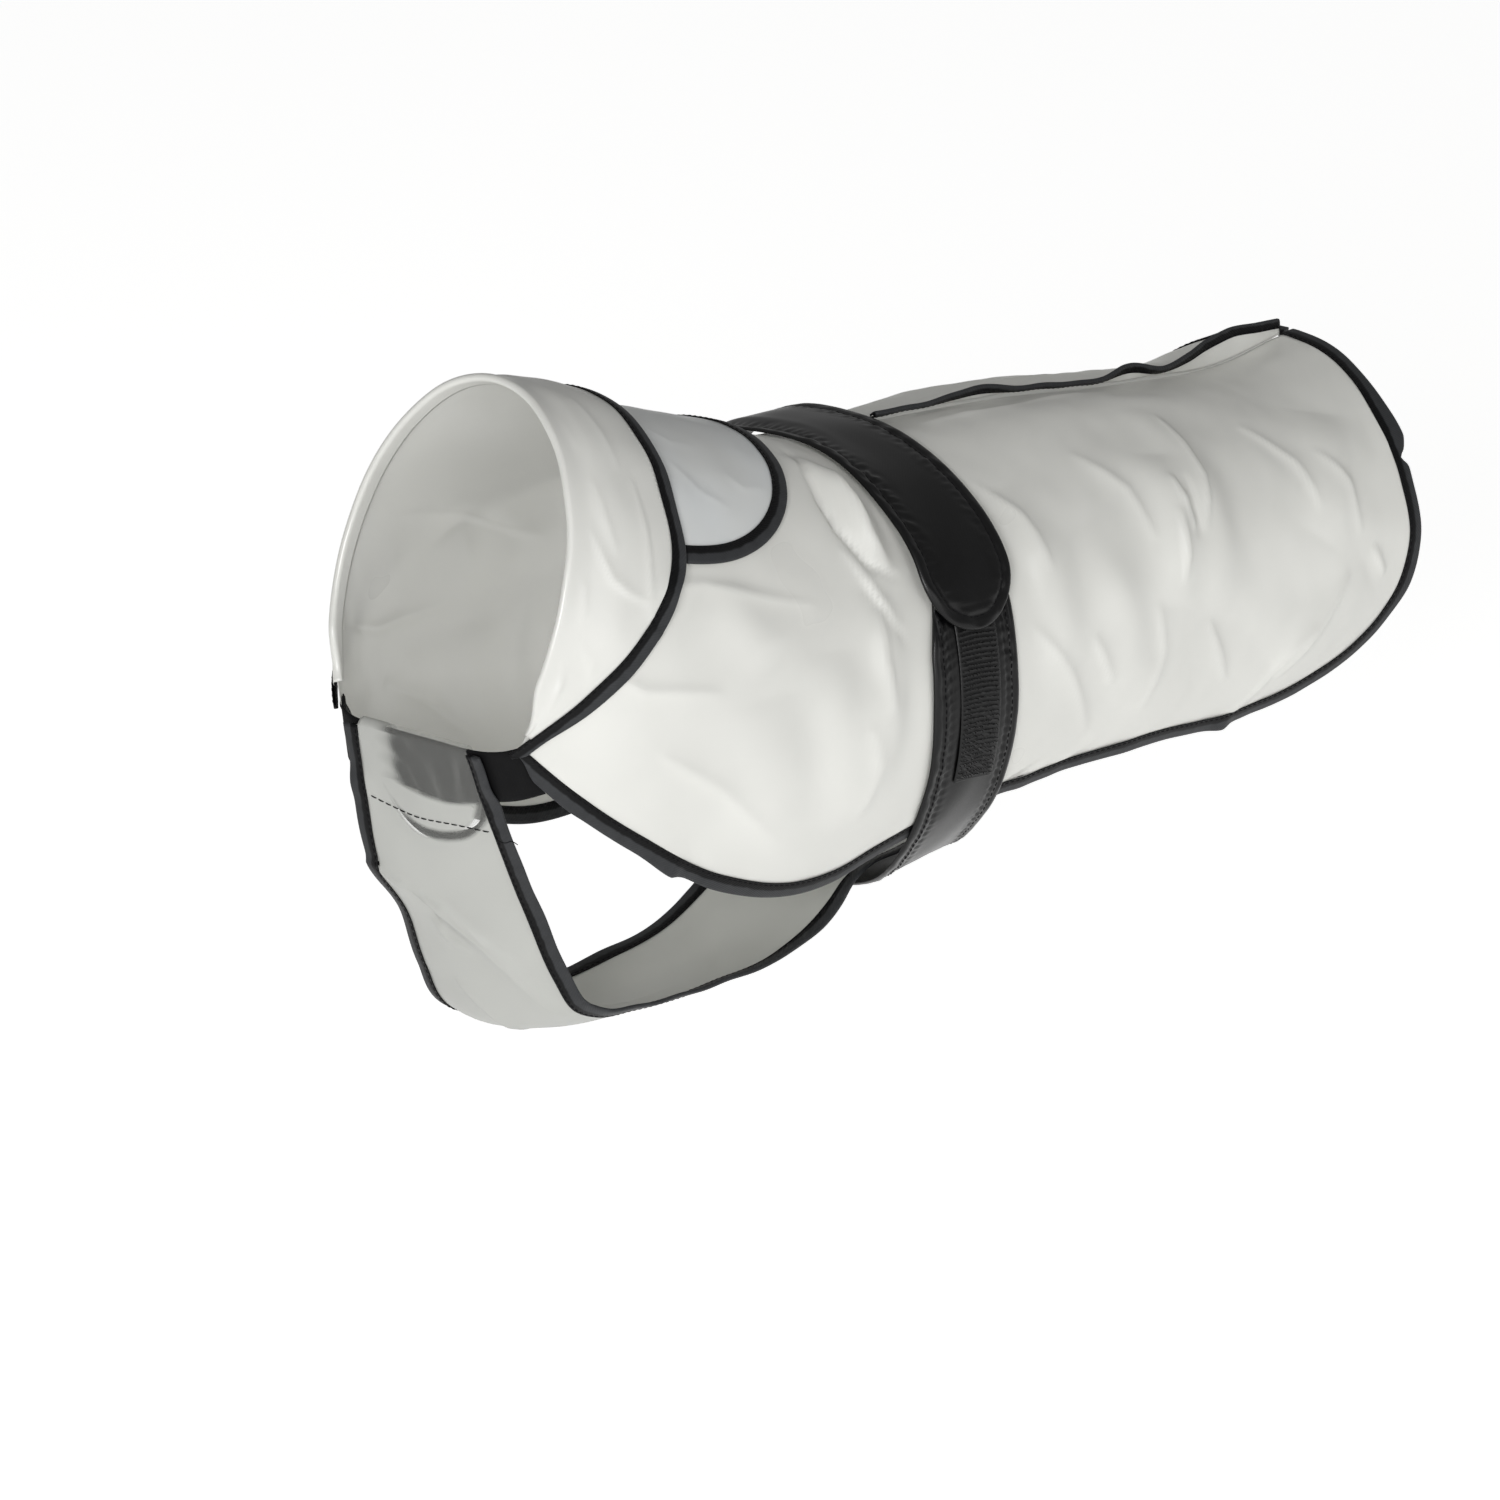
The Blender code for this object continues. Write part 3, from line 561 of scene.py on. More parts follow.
coat = {
    "hem": (  # film edge on the left, from the front corner to the rear corner: back, girth
        (9, 182), (30, 194), (67, 212), (104, 228), (138, 232), (152, 228), (168, 219), (189, 211),
        (215, 207), (253, 205), (312, 201), (376, 198), (407, 193), (438, 183), (472, 164),
    ),
    "rear": ((backLength, 0), (504, 36), (495, 75), (493, 105), (494, 130), (487, 150), (472, 164)),
    "neckEdge": 2.0, "neckRound": 6, "seamGap": 0.04, "slitFrom": 78, "slitTo": 122, "slitOpening": 1.5,
    "pitch": 1.8, "tuckOver": 10, "beltOver": 18, "flapOver": 25, "seamOver": 8,
    "folds": (  # main folds: back, girth, to back, to girth, width, height
        (152, 30, 170, 98, 12, 7.0),
        (162, 104, 154, 204, 16, 4.0),
        (134, 130, 146, 210, 15, 3.0),
        (74, 104, 108, 132, 18, 3.0),
        (104, 150, 122, 222, 20, 3.0),
        (242, 34, 440, 32, 24, 3.5),
        (248, 70, 262, 155, 18, 3.5),
        (284, 95, 308, 180, 20, 3.5),
        (344, 70, 330, 140, 16, 4.5),
        (364, 40, 360, 150, 18, 4.0),
        (466, 60, 430, 120, 22, 4.0),
        (462, 140, 400, 180, 20, 3.5),
    ),
    "creases": (  # fine creases: points (back, girth), width, height, where below zero is a fold inward, lean
        (((158, 24), (150, 46), (148, 62), (150, 76), (158, 92), (174, 99)), 3.0, -3.6, 0.3),
        (((166, 34), (159, 56), (161, 78), (169, 92)), 5.0, 2.6, 0.3),
        (((147, 84), (156, 100), (166, 122)), 4.0, 2.2, -0.3),
        (((152, 100), (160, 112), (170, 128)), 3.5, -1.4, 0.2),
        (((158, 112), (157, 132), (160, 156)), 4.5, 2.2, 0.4),
        (((150, 160), (156, 178), (152, 204)), 5.0, 1.4, 0.0),
        (((20, 112), (45, 106), (72, 103), (92, 106), (128, 110)), 5.0, 1.7, 0.3),
        (((343, 82), (346, 108)), 3.0, 2.2, 0.5),
        (((338, 98), (334, 130)), 4.0, 2.4, -0.4),
        (((352, 84), (348, 112)), 3.5, -1.5, 0.2),
        (((368, 46), (367, 66), (363, 86), (353, 110)), 3.0, 2.2, 0.4),
        (((386, 194), (408, 170), (424, 158)), 5.0, 1.9, 0.3),
        (((402, 184), (424, 162), (448, 138)), 4.5, 2.2, -0.4),
        (((466, 128), (475, 143)), 4.0, 1.8, 0.2),
        (((352, 148), (368, 180)), 5.0, 1.7, 0.2),
        (((275, 143), (289, 168)), 5.0, 1.6, -0.2),
        (((236, 60), (250, 84), (254, 112)), 5.0, 1.8, 0.3),
        (((238, 130), (262, 158), (280, 190)), 6.0, 1.8, 0.3),
        (((300, 60), (318, 84), (322, 110)), 5.5, 1.5, 0.2),
        (((410, 60), (428, 84), (432, 108)), 5.0, 1.7, -0.3),
        (((442, 80), (456, 98), (458, 122)), 5.0, 1.6, 0.3),
        (((20, 140), (48, 150), (84, 148)), 6.0, 1.5, 0.2),
        (((62, 176), (92, 190), (120, 214)), 6.0, 1.6, -0.2),
        (((310, 188), (322, 160), (318, 136)), 5.0, 1.4, 0.2),
        (((252, 14), (300, 18), (350, 13), (398, 17)), 5.0, 1.2, 0.2),
    ),
    "swell": (0.5, 42, 11), "cockle": (0.12, 15, 12),
}
beltPlace, beltWidth = 205.0, 52.0
collarFallTop, flapReach = 50, 88


def toLine(back, girth, line):
    # signed distance to a line of points, and the share of its length where it is nearest
    points = np.array(line, float)
    steps = runningLength(points)
    best = share = None
    for a, b, before in zip(points[:-1], points[1:], steps):
        run = b - a
        reach = np.linalg.norm(run)
        offBack, offGirth = back - a[0], girth - a[1]
        t = np.clip((offBack * run[0] + offGirth * run[1]) / reach**2, 0, 1)
        away = np.hypot(offBack - run[0] * t, offGirth - run[1] * t)
        away = away * np.where(run[0] * offGirth - run[1] * offBack < 0, -1, 1)
        here = (before + t * reach) / steps[-1]
        if best is None:
            best, share = away, here
        else:
            nearer = np.abs(away) < np.abs(best)
            best, share = np.where(nearer, away, best), np.where(nearer, here, share)
    return best, share


def creaseHeight(back, girth, creases):
    total = np.zeros(np.broadcast(back, girth).shape)
    for line, width, height, lean in creases:
        away, share = toLine(back, girth, line)
        wide = width * (1 + lean * np.sign(away)) * (0.8 + 0.4 * np.sin(math.pi * share))
        crest = np.exp(-2.2 * (np.sqrt((away / wide) ** 2 + 0.02) - 0.14))
        total += height * crest * (1 - (2 * share - 1) ** 2) ** 0.7
    return total


def otherSide(creases, seed):
    # like creases for the side that a crease table doesn't give: moved, longer or shorter, as uneven
    draw = np.random.default_rng(seed)
    moved = []
    for line, width, height, lean in creases:
        shift = draw.uniform(-9, 9, 2)
        grow, turn = draw.uniform(0.85, 1.25), draw.uniform(-0.25, 0.25)
        points = np.array(line, float)
        middle = points.mean(axis=0)
        spin = np.array([[math.cos(turn), -math.sin(turn)], [math.sin(turn), math.cos(turn)]])
        points = (points - middle) @ spin.T * grow + middle + shift
        moved.append((points, width * draw.uniform(0.85, 1.2), height * draw.uniform(0.8, 1.15), -lean))
    return moved


coatCreases = {1: coat["creases"], -1: otherSide(coat["creases"], 5)}


def filmLift(back, girth, side):
    # girth above zero on both sides; what the folds and creases add above the figure
    total = np.zeros(np.broadcast(back, girth).shape)
    for fromBack, fromGirth, toBack, toGirth, width, height in coat["folds"]:
        away, share = toLine(back, girth, ((fromBack, fromGirth), (toBack, toGirth)))
        total += height * np.exp(-2 * (away / width) ** 2) * (1 - (2 * share - 1) ** 2)
    total += creaseHeight(back, girth, coatCreases[side])
    total += ripple(back, girth * side, coat["swell"])
    total += ripple(back, girth * side, coat["cockle"])
    clearOfBelt = ease((np.abs(back - beltPlace) - beltWidth / 2) / coat["beltOver"])
    clearOfFlap = ease((np.hypot(back - collarFallTop, girth) - flapReach) / coat["flapOver"])
    return total * clearOfBelt * clearOfFlap * ease(girth / coat["seamOver"])


def seamGirth(back):
    t = np.clip((back - coat["slitFrom"]) / (coat["slitTo"] - coat["slitFrom"]), 0, 1)
    return coat["seamGap"] + coat["slitOpening"] * np.sin(math.pi * t)


def coatPlaces(a, b):
    # (back, girth) inside the left half: a runs from neck to tail, b from the seam to the hem
    a, b = a[:, None, None], b[None, :, None]
    seamBack = coat["neckEdge"] + (backLength - coat["neckEdge"]) * a
    seam = np.concatenate([seamBack, seamBack * 0], axis=-1)
    hem = alongTable(coat["hem"], a[:, 0, 0])[:, None]
    cornerBack, cornerGirth = coat["hem"][0]
    neckBack = coat["neckEdge"] + (cornerBack - coat["neckEdge"]) * b ** coat["neckRound"]
    neck = np.concatenate([neckBack, cornerGirth * b], axis=-1)
    rear = alongTable(coat["rear"], b[0, :, 0])[None]
    seamRear, hemRear, hemFront = np.array((coat["rear"][0], coat["rear"][-1], coat["hem"][0]), float)
    corners = (1 - a) * (1 - b) * np.array([coat["neckEdge"], 0]) + (1 - a) * b * hemFront
    corners = corners + a * (1 - b) * seamRear + a * b * hemRear
    spots = (1 - b) * seam + b * hem + (1 - a) * neck + a * rear - corners
    back, girth = spots[..., 0], spots[..., 1]
    return back, girth + seamGirth(back) * (1 - b[..., 0])


hemBinding = {
    "pitch": 1.6,
    "uneven": (  # on the left: distance from the front corner, reach before and after, twist, lift, wider
        (42, 9, 6, 8, 0.3, 0.3),
        (101, 12, 3.5, 12, 0.4, 1.4),
        (111, 4, 12, -6, 0.0, -0.5),
        (262, 10, 10, -8, 0.4, 0.2),
        (444, 7, 5, 10, 0.5, 1.0),
        (566, 9, 14, 6, 0.0, 0.5),
        (621, 2.6, 2.6, 0, 0.0, -3.4),
        (632, 6, 26, 8, 0.4, 2.4),
    ),
    "sway": (3.0, 70, 21), "lead": 8.6, "start": 10.0, "startWidth": 0.5, "startOver": 14.0,
}


def hemLine(side):
    # the film's edge from the front corner round to the back seam, how much wider the tape is, and distances
    rows = np.array(coat["hem"][:-1] + coat["rear"][::-1], float)
    length = runningLength(rows)[-1]
    spots = alongTable(rows, np.linspace(0, 1, int(length / hemBinding["pitch"]) + 1))
    back, girth = spots[:, 0], np.maximum(spots[:, 1], 0.5)
    middles = place(back, girth * side, filmLift(back, girth, side) + film["cadWall"] / 2)
    acrosses, ups = edgeFrame(middles, directions(back, girth * side)[2], side)
    distances = runningLength(middles) + hemBinding["lead"]
    twist = ripple(distances, 0, hemBinding["sway"], side)
    wider = np.zeros(len(twist))
    for at, before, after, angle, up, wide in hemBinding["uneven"]:
        at = at if side > 0 else at * 0.93 + 20
        hump = bump(distances, at, np.where(distances < at, before, after))
        twist += angle * hump
        wider += wide * hump
        middles = middles + ups * (up * hump)[:, None]
    return middles, *turned(acrosses, ups, twist), wider, distances


def coatHalf(name, side, node):
    rows = int(backLength / coat["pitch"]) + 1
    columns = int(coat["hem"][4][1] / coat["pitch"]) + 1
    a, b = np.linspace(0, 1, rows), np.linspace(0, 1, columns)
    back, girth = coatPlaces(a, b)
    grid = place(back, girth * side, filmLift(back, girth, side) + film["cadWall"] / 2)
    middles, acrosses, _, _, distances = hemLine(side)
    distances = distances - distances[0]
    corner = distances[np.argmin(np.linalg.norm(middles - grid[-1, -1], axis=1))]
    hemMove = tuckMove(a * corner, distances, middles, acrosses, grid[:, -1])
    rearAt = distances[-1] - b * (distances[-1] - corner)
    rearMove = tuckMove(rearAt, distances, middles, acrosses, grid[-1])
    wide = runningLength(grid[rows // 2])[-1]
    deep = runningLength(grid[:, 0])[-1]
    hemWeight = ease(1 - (1 - b) * wide / coat["tuckOver"])[None, :, None]
    rearWeight = ease(1 - (1 - a) * deep / coat["tuckOver"])[:, None, None]
    total = np.maximum(hemWeight + rearWeight, 1)
    grid = grid + (hemMove[:, None] * hemWeight + rearMove[None] * rearWeight) / total
    return addFilm(name, grid, filmFinish, node, back, girth)


def hemTape(name, side, node):
    *edge, wider, distances = hemLine(side)
    grown = ease((distances - hemBinding["start"]) / hemBinding["startOver"])
    width = (tape["width"] + wider) * (hemBinding["startWidth"] + (1 - hemBinding["startWidth"]) * grown)
    kept = distances > hemBinding["start"]
    return addTape(name, node, [vectors[kept] for vectors in edge], width[kept])


filmLeft = coatHalf("filmLeft", 1, "coat_left")
filmRight = coatHalf("filmRight", -1, "coat_right")
hemLeft = hemTape("hemBindingLeft", 1, "hem_tape_left")
hemRight = hemTape("hemBindingRight", -1, "hem_tape_right")
print("coat halves and hem binding ready")


backSeam = {
    "rows": (  # the allowance: back, height, lean to the left in degrees
        (234, 1.5, 62), (262, 1.5, 64), (286, 1.8, 46), (302, 2.5, 30), (322, 1.5, 60), (352, 1.5, 64),
        (380, 1.5, 60), (402, 3.5, 22), (422, 2.0, 52), (440, 4.5, 22), (456, 7.5, 2), (475, 8.5, -2),
        (492, 5.5, 0), (507, 2.0, 4),
    ),
    "tapeHeight": 4.8, "tapeThick": 2.3, "above": 0.6, "inside": 1.8, "foot": 1.5, "leanFoot": 1.6,
    "steps": 240, "columns": 9, "weaveHigh": 10, "swell": (0.25, 24, 32), "sway": (5, 30, 31),
}


def addBackSeam():
    rows = backSeam["rows"]
    back = np.linspace(rows[0][0], rows[-1][0], backSeam["steps"] + 1)
    height = tableCurve(rows, back) + backSeam["above"]
    lean = tableCurve(rows, back, 2) + ripple(back, 0, backSeam["sway"])
    _, around, up = directions(back, 0 * back)
    stand, face = turned(up, around, lean)
    footLift = backSeam["foot"] + backSeam["leanFoot"] * np.abs(np.sin(np.radians(lean)))
    foot = place(back, 0 * back, footLift)
    start = foot + stand * height[:, None] + face * ripple(back, 0, backSeam["swell"])[:, None]
    share = np.linspace(0, 1, backSeam["columns"])
    top = start + stand * backSeam["inside"]
    grid = foot[:, None] + (top - foot)[:, None] * share[None, :, None]
    weave = np.stack(np.broadcast_arrays(back[:, None], share * backSeam["weaveHigh"]), axis=-1)
    layers = film["thickness"]  # two of them, so this is half
    return [
        addCloth("seamAllowanceFilm", grid, layers, filmFinish, "frosted_film", "seam_allowance", weave),
        *addTape(
            "seamBinding", "seam_tape", (start, stand, face), backSeam["tapeHeight"], backSeam["tapeThick"]),
    ]


seamPieces = addBackSeam()
print("back seam ready")


collar = {
    # girth, width from the fold to the free edge
    "fall": ((0, 50), (60, 50), (98, 51), (118, 44), (136, 34), (155, 21), (175, 9), (186, 5)),
    "endBack": 6.5, "endBackFrom": 150,  # the neck fold turns back towards its ends
    # the tape runs on past the film and narrows
    "tapePast": 10.0, "tapeSteps": 360, "narrowFrom": 148, "endNarrower": 2.8, "tipOver": 7.0,
    # needle ticks beside the tape on the left: girth, and distance from the tape's edge
    "ticks": {"from": 34, "to": 96, "in": 0.9, "length": 1.1, "gap": 1.3, "radius": 0.16},
    "edgeLift": 5.4, "endLift": 2.6, "endFrom": 106, "endOver": 45, "low": 1.7,
    "rise": 1.4, "smoothTo": 4, "smoothOver": 8,
    "leg": 9.0, "foldBack": 2.4, "foldLow": -1.0, "foldHigh": 2.3,
    "pitch": 1.5, "legRows": 6, "foldRows": 9, "fallRows": 36,
    "creases": (  # points (from the fold, girth), width, height, lean to one side
        (((36, 62), (39, 84), (41, 106), (42, 128)), 2.6, 0.9, 0.5),
        (((10, 84), (17, 98), (22, 106), (31, 111), (41, 114)), 3.0, 1.1, -0.4),
        (((14, 62), (18, 80), (24, 96)), 4.5, 0.8, 0.3),
        (((4, 100), (10, 110), (12, 124)), 3.5, 0.8, 0.3),
        (((6, 138), (10, 150), (8, 164)), 2.6, 0.9, 0.4),
        (((12, 132), (20, 140), (22, 148)), 3.2, 0.7, -0.3),
        (((24, 20), (28, 42), (30, 60)), 5.0, 0.7, 0.2),
        (((8, 30), (12, 52)), 5.0, 0.6, 0.2),
    ),
    "swell": (0.45, 34, 41), "wander": (0.5, 36, 42), "wanderOver": 14, "sway": (4, 40, 43),
    "kinkGirth": 107, "kinkReach": 6, "kinkTwist": 16, "kinkWider": -1.4,
}
collarGirth = collar["fall"][-2][0]
collarCreases = {1: collar["creases"], -1: otherSide(collar["creases"], 9)}


def collarFall(girth):
    return tableCurve(collar["fall"], np.abs(girth))


def collarLift(back, girth):
    # middle of the film above the figure, on the outer side of the fold
    towardsEnd = ease((np.abs(girth) - collar["endFrom"]) / collar["endOver"])
    edge = collar["edgeLift"] - (collar["edgeLift"] - collar["endLift"]) * towardsEnd
    rise = ease(back / collarFall(girth) * collar["rise"])
    plain = collar["low"] + (edge - collar["low"]) * rise + film["cadWall"] / 2
    left, right = (creaseHeight(back, np.abs(girth), collarCreases[side]) for side in (1, -1))
    uneven = np.where(girth < 0, right, left) + ripple(back, girth, collar["swell"])
    return plain + uneven * ease((back - collar["smoothTo"]) / collar["smoothOver"])


def addCollar():
    girths = np.linspace(-collarGirth, collarGirth, int(2 * collarGirth / collar["pitch"]) + 1)
    fall = collarFall(girths)
    low, high, foldBack = collar["foldLow"], collar["foldHigh"], collar["foldBack"]
    radius = (high - low) / 2
    leg = np.linspace(collar["leg"], foldBack, collar["legRows"])[:-1]
    turn = np.linspace(-math.pi / 2, math.pi / 2, collar["foldRows"])
    inner = np.minimum(np.concatenate([leg, foldBack - radius * np.cos(turn)])[:, None], fall)
    innerLift = np.concatenate([leg * 0 + low, low + radius + radius * np.sin(turn)])
    share = np.linspace(0, 1, collar["fallRows"])[1:, None]
    outer = foldBack + (np.maximum(fall, foldBack + 2) - foldBack) * share
    outerLift = high + (collarLift(outer, girths[None]) - high) * ease(share * 3)
    back = np.concatenate([inner, outer])
    girth = np.broadcast_to(girths, back.shape)
    lift = np.concatenate([np.broadcast_to(innerLift[:, None], inner.shape), outerLift])
    wander = ripple(girths, 0, collar["wander"]) * np.exp(-back / collar["wanderOver"])
    endShare = ease((np.abs(girths) - collar["endBackFrom"]) / (collarGirth - collar["endBackFrom"]))
    wander = wander + collar["endBack"] * endShare * np.clip(1 - back / fall, 0, 1)
    grid = place(back + wander, girth, lift)
    middles, acrosses, _, _ = collarEdge(girths)
    weight = ease(1 - (1 - share) * fall / tape["tuckOver"])[..., None]
    grid[-len(share):] += weight * (middles + acrosses * tape["tuck"] - grid[-1])
    piece = addFilm("collarFilm", grid, filmFinish, "collar", back, girth)
    past = collarGirth + collar["tapePast"]
    girths = np.linspace(-past, past, collar["tapeSteps"])
    *edge, width = collarEdge(girths)
    ticks = collar["ticks"]
    middles, acrosses, ups = (vectors[(girths > ticks["from"]) & (girths < ticks["to"])] for vectors in edge)
    tickThreads = threads(middles - acrosses * ticks["in"] + ups * film["thickness"], ups, ticks)
    addPiece("collarNeedleTicks", *tickThreads, filmFinish, "frosted_film")
    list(addTape("collarBinding", "collar_tape", edge, width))


def collarEdge(girths):
    fall = collarFall(girths)
    middles = place(fall, girths, collarLift(fall, girths))
    acrosses, ups = edgeFrame(middles, directions(fall, girths)[2], -1)
    distances = runningLength(middles)
    kink = bump(np.abs(girths + 3 * (girths < 0)), collar["kinkGirth"], collar["kinkReach"])
    twist = ripple(distances, 0, collar["sway"]) + collar["kinkTwist"] * kink
    towardsEnd = ease((np.abs(girths) - collar["narrowFrom"]) / (collarGirth - collar["narrowFrom"]))
    width = tape["width"] + collar["kinkWider"] * kink - collar["endNarrower"] * towardsEnd
    fromTip = np.minimum(distances, distances[-1] - distances)
    width = width * (0.45 + 0.55 * ease(fromTip / collar["tipOver"] + 0.1))
    return middles, *turned(acrosses, ups, twist), width


addCollar()
print("collar ready")


flap = {
    "front": 42.0, "rear": 133.0, "girth": 88.0, "side": 20.0, "round": 2.4, "lift": 2.2,
    "rows": 150, "columns": 64, "smoothTo": 52, "smoothOver": 12,
    "creases": (
        (((66, 48), (78, 62), (92, 70)), 5.0, 0.5, 0.3),
        (((60, 24), (76, 36), (90, 36)), 6.0, 0.45, 0.2),
        (((96, 52), (104, 60), (116, 58)), 4.0, 0.4, -0.3),
    ),
    "swell": (0.25, 30, 51),
}


def flapEdge(share):
    turn = math.pi * share
    reach = flap["rear"] - flap["front"] - flap["side"]
    back = flap["front"] + flap["side"] + reach * np.abs(np.sin(turn)) ** (2 / flap["round"])
    girth = -flap["girth"] * np.copysign(np.abs(np.cos(turn)) ** (2 / flap["round"]), np.cos(turn))
    return back, girth


def flapLift(back, girth):
    left = creaseHeight(back, girth, flap["creases"])
    right = creaseHeight(back, -girth, otherSide(flap["creases"], 13))
    uneven = left + right + ripple(back, girth, flap["swell"])
    return flap["lift"] + film["cadWall"] / 2 + uneven * ease((back - flap["smoothTo"]) / flap["smoothOver"])


def addFlap():
    fine = np.linspace(0, 1, 2001)
    steps = runningLength(np.stack(flapEdge(fine), axis=-1))
    share = np.interp(np.linspace(0, steps[-1], flap["rows"] + 1), steps, fine)
    edgeBack, edgeGirth = flapEdge(share)
    front = flap["girth"] * (2 * np.linspace(0, 1, flap["rows"] + 1) - 1)
    t = np.linspace(0, 1, flap["columns"] + 1)[None]
    back = flap["front"] * (1 - t) + edgeBack[:, None] * t
    girth = front[:, None] * (1 - t) + edgeGirth[:, None] * t
    grid = place(back, girth, flapLift(back, girth))
    middles = grid[:, -1]
    acrosses, ups = edgeFrame(middles, directions(edgeBack, edgeGirth)[2], -1)
    far = np.linalg.norm(grid - middles[:, None], axis=-1)
    grid = grid + ease(1 - far / tape["tuckOver"])[..., None] * acrosses[:, None] * tape["tuck"]
    piece = addFilm("flapFilm", grid, flapLitFinish, "flap", back, girth)
    addTape("flapBinding", "flap_tape", (middles, acrosses, ups))


addFlap()
print("flap ready")


belt = {
    "tip": 125.0, "hidden": 92.0, "hiddenNarrower": 7.0, "hiddenOver": 30.0,
    "lift": (  # girth, lift of the inner face from the tip over the back
        (-140, 2.3), (-105, 2.6), (-72, 5.8), (-40, 7.8), (-8, 4.8), (25, 2.6), (60, 2.5), (92, 6.3),
        (125, 6.3),
    ),
    # the front edge droops over the back
    "curl": 4.2, "curlFrom": 8, "curlOver": 15, "curlAt": -34, "curlReach": 42,
    # distance round from the seam, towards the tail
    "lean": ((0, 0), (180, 0), (230, 5), (268, 16), (311, 22)),
    # distance from the edge, height of the outer face: a rolled rim, a sewn groove, the panel
    "rimmed": (
        (0, 0.5), (0.5, 1.3), (1.6, 1.75), (3.2, 1.8), (4.6, 1.6), (5.4, 1.0), (6.4, 1.5), (8.5, 1.75),
        (14, 1.95), (26, 2.05),
    ),
    "ridgedFrom": -250, "ridgedOver": 60,
    "ridged": (  # the lower end beside the hook tape has a second ridge
        (0, 0.5), (0.5, 1.2), (1.6, 1.6), (3.0, 1.65), (4.2, 1.1), (5.2, 1.5), (7.0, 1.6), (8.4, 1.05),
        (9.6, 1.45), (13, 1.6), (26, 1.7),
    ),
    "pitch": 1.3, "columns": 46, "closer": 0.35, "tipTurns": (7, 90, 22),  # points are closer along the edges
    "stitchIn": 5.4, "stitch": {"length": 2.5, "gap": 0.75, "radius": 0.24},
    "pucker": 0.28, "puckerPitch": 4.4, "puckerAt": 8.2, "puckerReach": 2.6, "puckerShift": (1.2, 20, 61),
    "rough": {"more": 0.9, "over": 12, "at": 75, "reach": 45},  # the front edge puckers more on the left
    "crumple": (0.34, 11, 62), "swell": (0.4, 40, 63),
}
beltWhole = float(2 * halfGirth(beltPlace))
beltHalf = beltWidth / 2
tipCentre = belt["tip"] - beltHalf


def beltBack(girth, across):
    # back of a spot across the belt, which leans towards the tail on its way down
    roundFromSeam = np.minimum(np.abs(girth), beltWhole - np.abs(girth))
    middle = beltPlace + tableCurve(belt["lean"], roundFromSeam)
    stretch = np.linalg.norm(onFigure(middle + 0.5, girth) - onFigure(middle - 0.5, girth), axis=-1)
    return middle + across / stretch


def beltPoint(girth, across, height):
    firstGirth, firstLift = belt["lift"][0]
    base = np.where(girth > firstGirth, tableCurve(belt["lift"], girth), firstLift)
    droop = ease((-across - belt["curlFrom"]) / belt["curlOver"])
    droop = droop * bump(girth, belt["curlAt"], belt["curlReach"])
    return place(beltBack(girth, across), girth, base - belt["curl"] * droop + height)


def beltHeight(girth, across):
    # outer face above the inner face
    toEdge = beltHalf - np.where(girth > tipCentre, np.hypot(girth - tipCentre, across), np.abs(across))
    low = ease((belt["ridgedFrom"] - girth) / belt["ridgedOver"])
    along = belt["tip"] - girth
    rough = belt["rough"]
    front = 1 + rough["more"] * ease(-across / rough["over"]) * bump(girth, rough["at"], rough["reach"])
    shifted = along + ripple(along, across, belt["puckerShift"])
    pucker = belt["pucker"] * np.cos(2 * math.pi * shifted / belt["puckerPitch"])
    pucker = pucker * bump(toEdge, belt["puckerAt"], belt["puckerReach"]) * front
    crumple = ripple(along, across, belt["crumple"]) * front * ease(toEdge / 3)
    plain = tableCurve(belt["rimmed"], toEdge) * (1 - low) + tableCurve(belt["ridged"], toEdge) * low
    return plain + pucker + crumple * ease(1.2 - toEdge / 14)


def addBelt():
    end = belt["hidden"] - beltWhole
    turns = np.radians(np.linspace(*belt["tipTurns"]))[:-1]
    straight = np.arange(tipCentre, end, -belt["pitch"])
    girths = np.concatenate([belt["tip"] - beltHalf * (1 - np.cos(turns)), straight, [end]])
    reach = np.concatenate([beltHalf * np.sin(turns), np.full(len(straight) + 1, beltHalf)])
    reach -= belt["hiddenNarrower"] * ease(1 - (girths - belt["hidden"] + beltWhole) / belt["hiddenOver"])
    columns, closer = belt["columns"], belt["closer"]
    share = np.sin(np.linspace(-math.pi / 2, math.pi / 2, columns)) * closer
    across = reach[:, None] * (share + np.linspace(-1, 1, columns) * (1 - closer))
    girth = np.broadcast_to(girths[:, None], across.shape)
    swell = ripple(girth, across, belt["swell"]) * ease(np.abs(girth + 200) / 40)
    outer = beltPoint(girth, across, beltHeight(girth, across) + swell)
    inner = beltPoint(girth, across, swell)
    weave = np.stack([girth, across], axis=-1)
    strap = addSlab("beltStrap", outer, inner, strapFinish, "black_strap", "belt", weave)
    # stitches run along both edges and round the tip
    inset = beltHalf - belt["stitchIn"]
    arc = np.linspace(-math.pi / 2, math.pi / 2, 40)
    run = np.linspace(end + 2, tipCentre, 500)
    girth = np.concatenate([run[:-1], tipCentre + inset * np.cos(arc), run[::-1][1:]])
    across = np.concatenate([np.full(499, -inset), inset * np.sin(arc), np.full(499, inset)])
    height = beltHeight(girth, across) + ripple(girth, across, belt["swell"])
    ups = directions(beltBack(girth, across), girth)[2]
    stitches = threads(beltPoint(girth, across, height), ups, belt["stitch"])
    return strap, addPiece("beltStitches", *stitches, threadFinish, "black_strap")


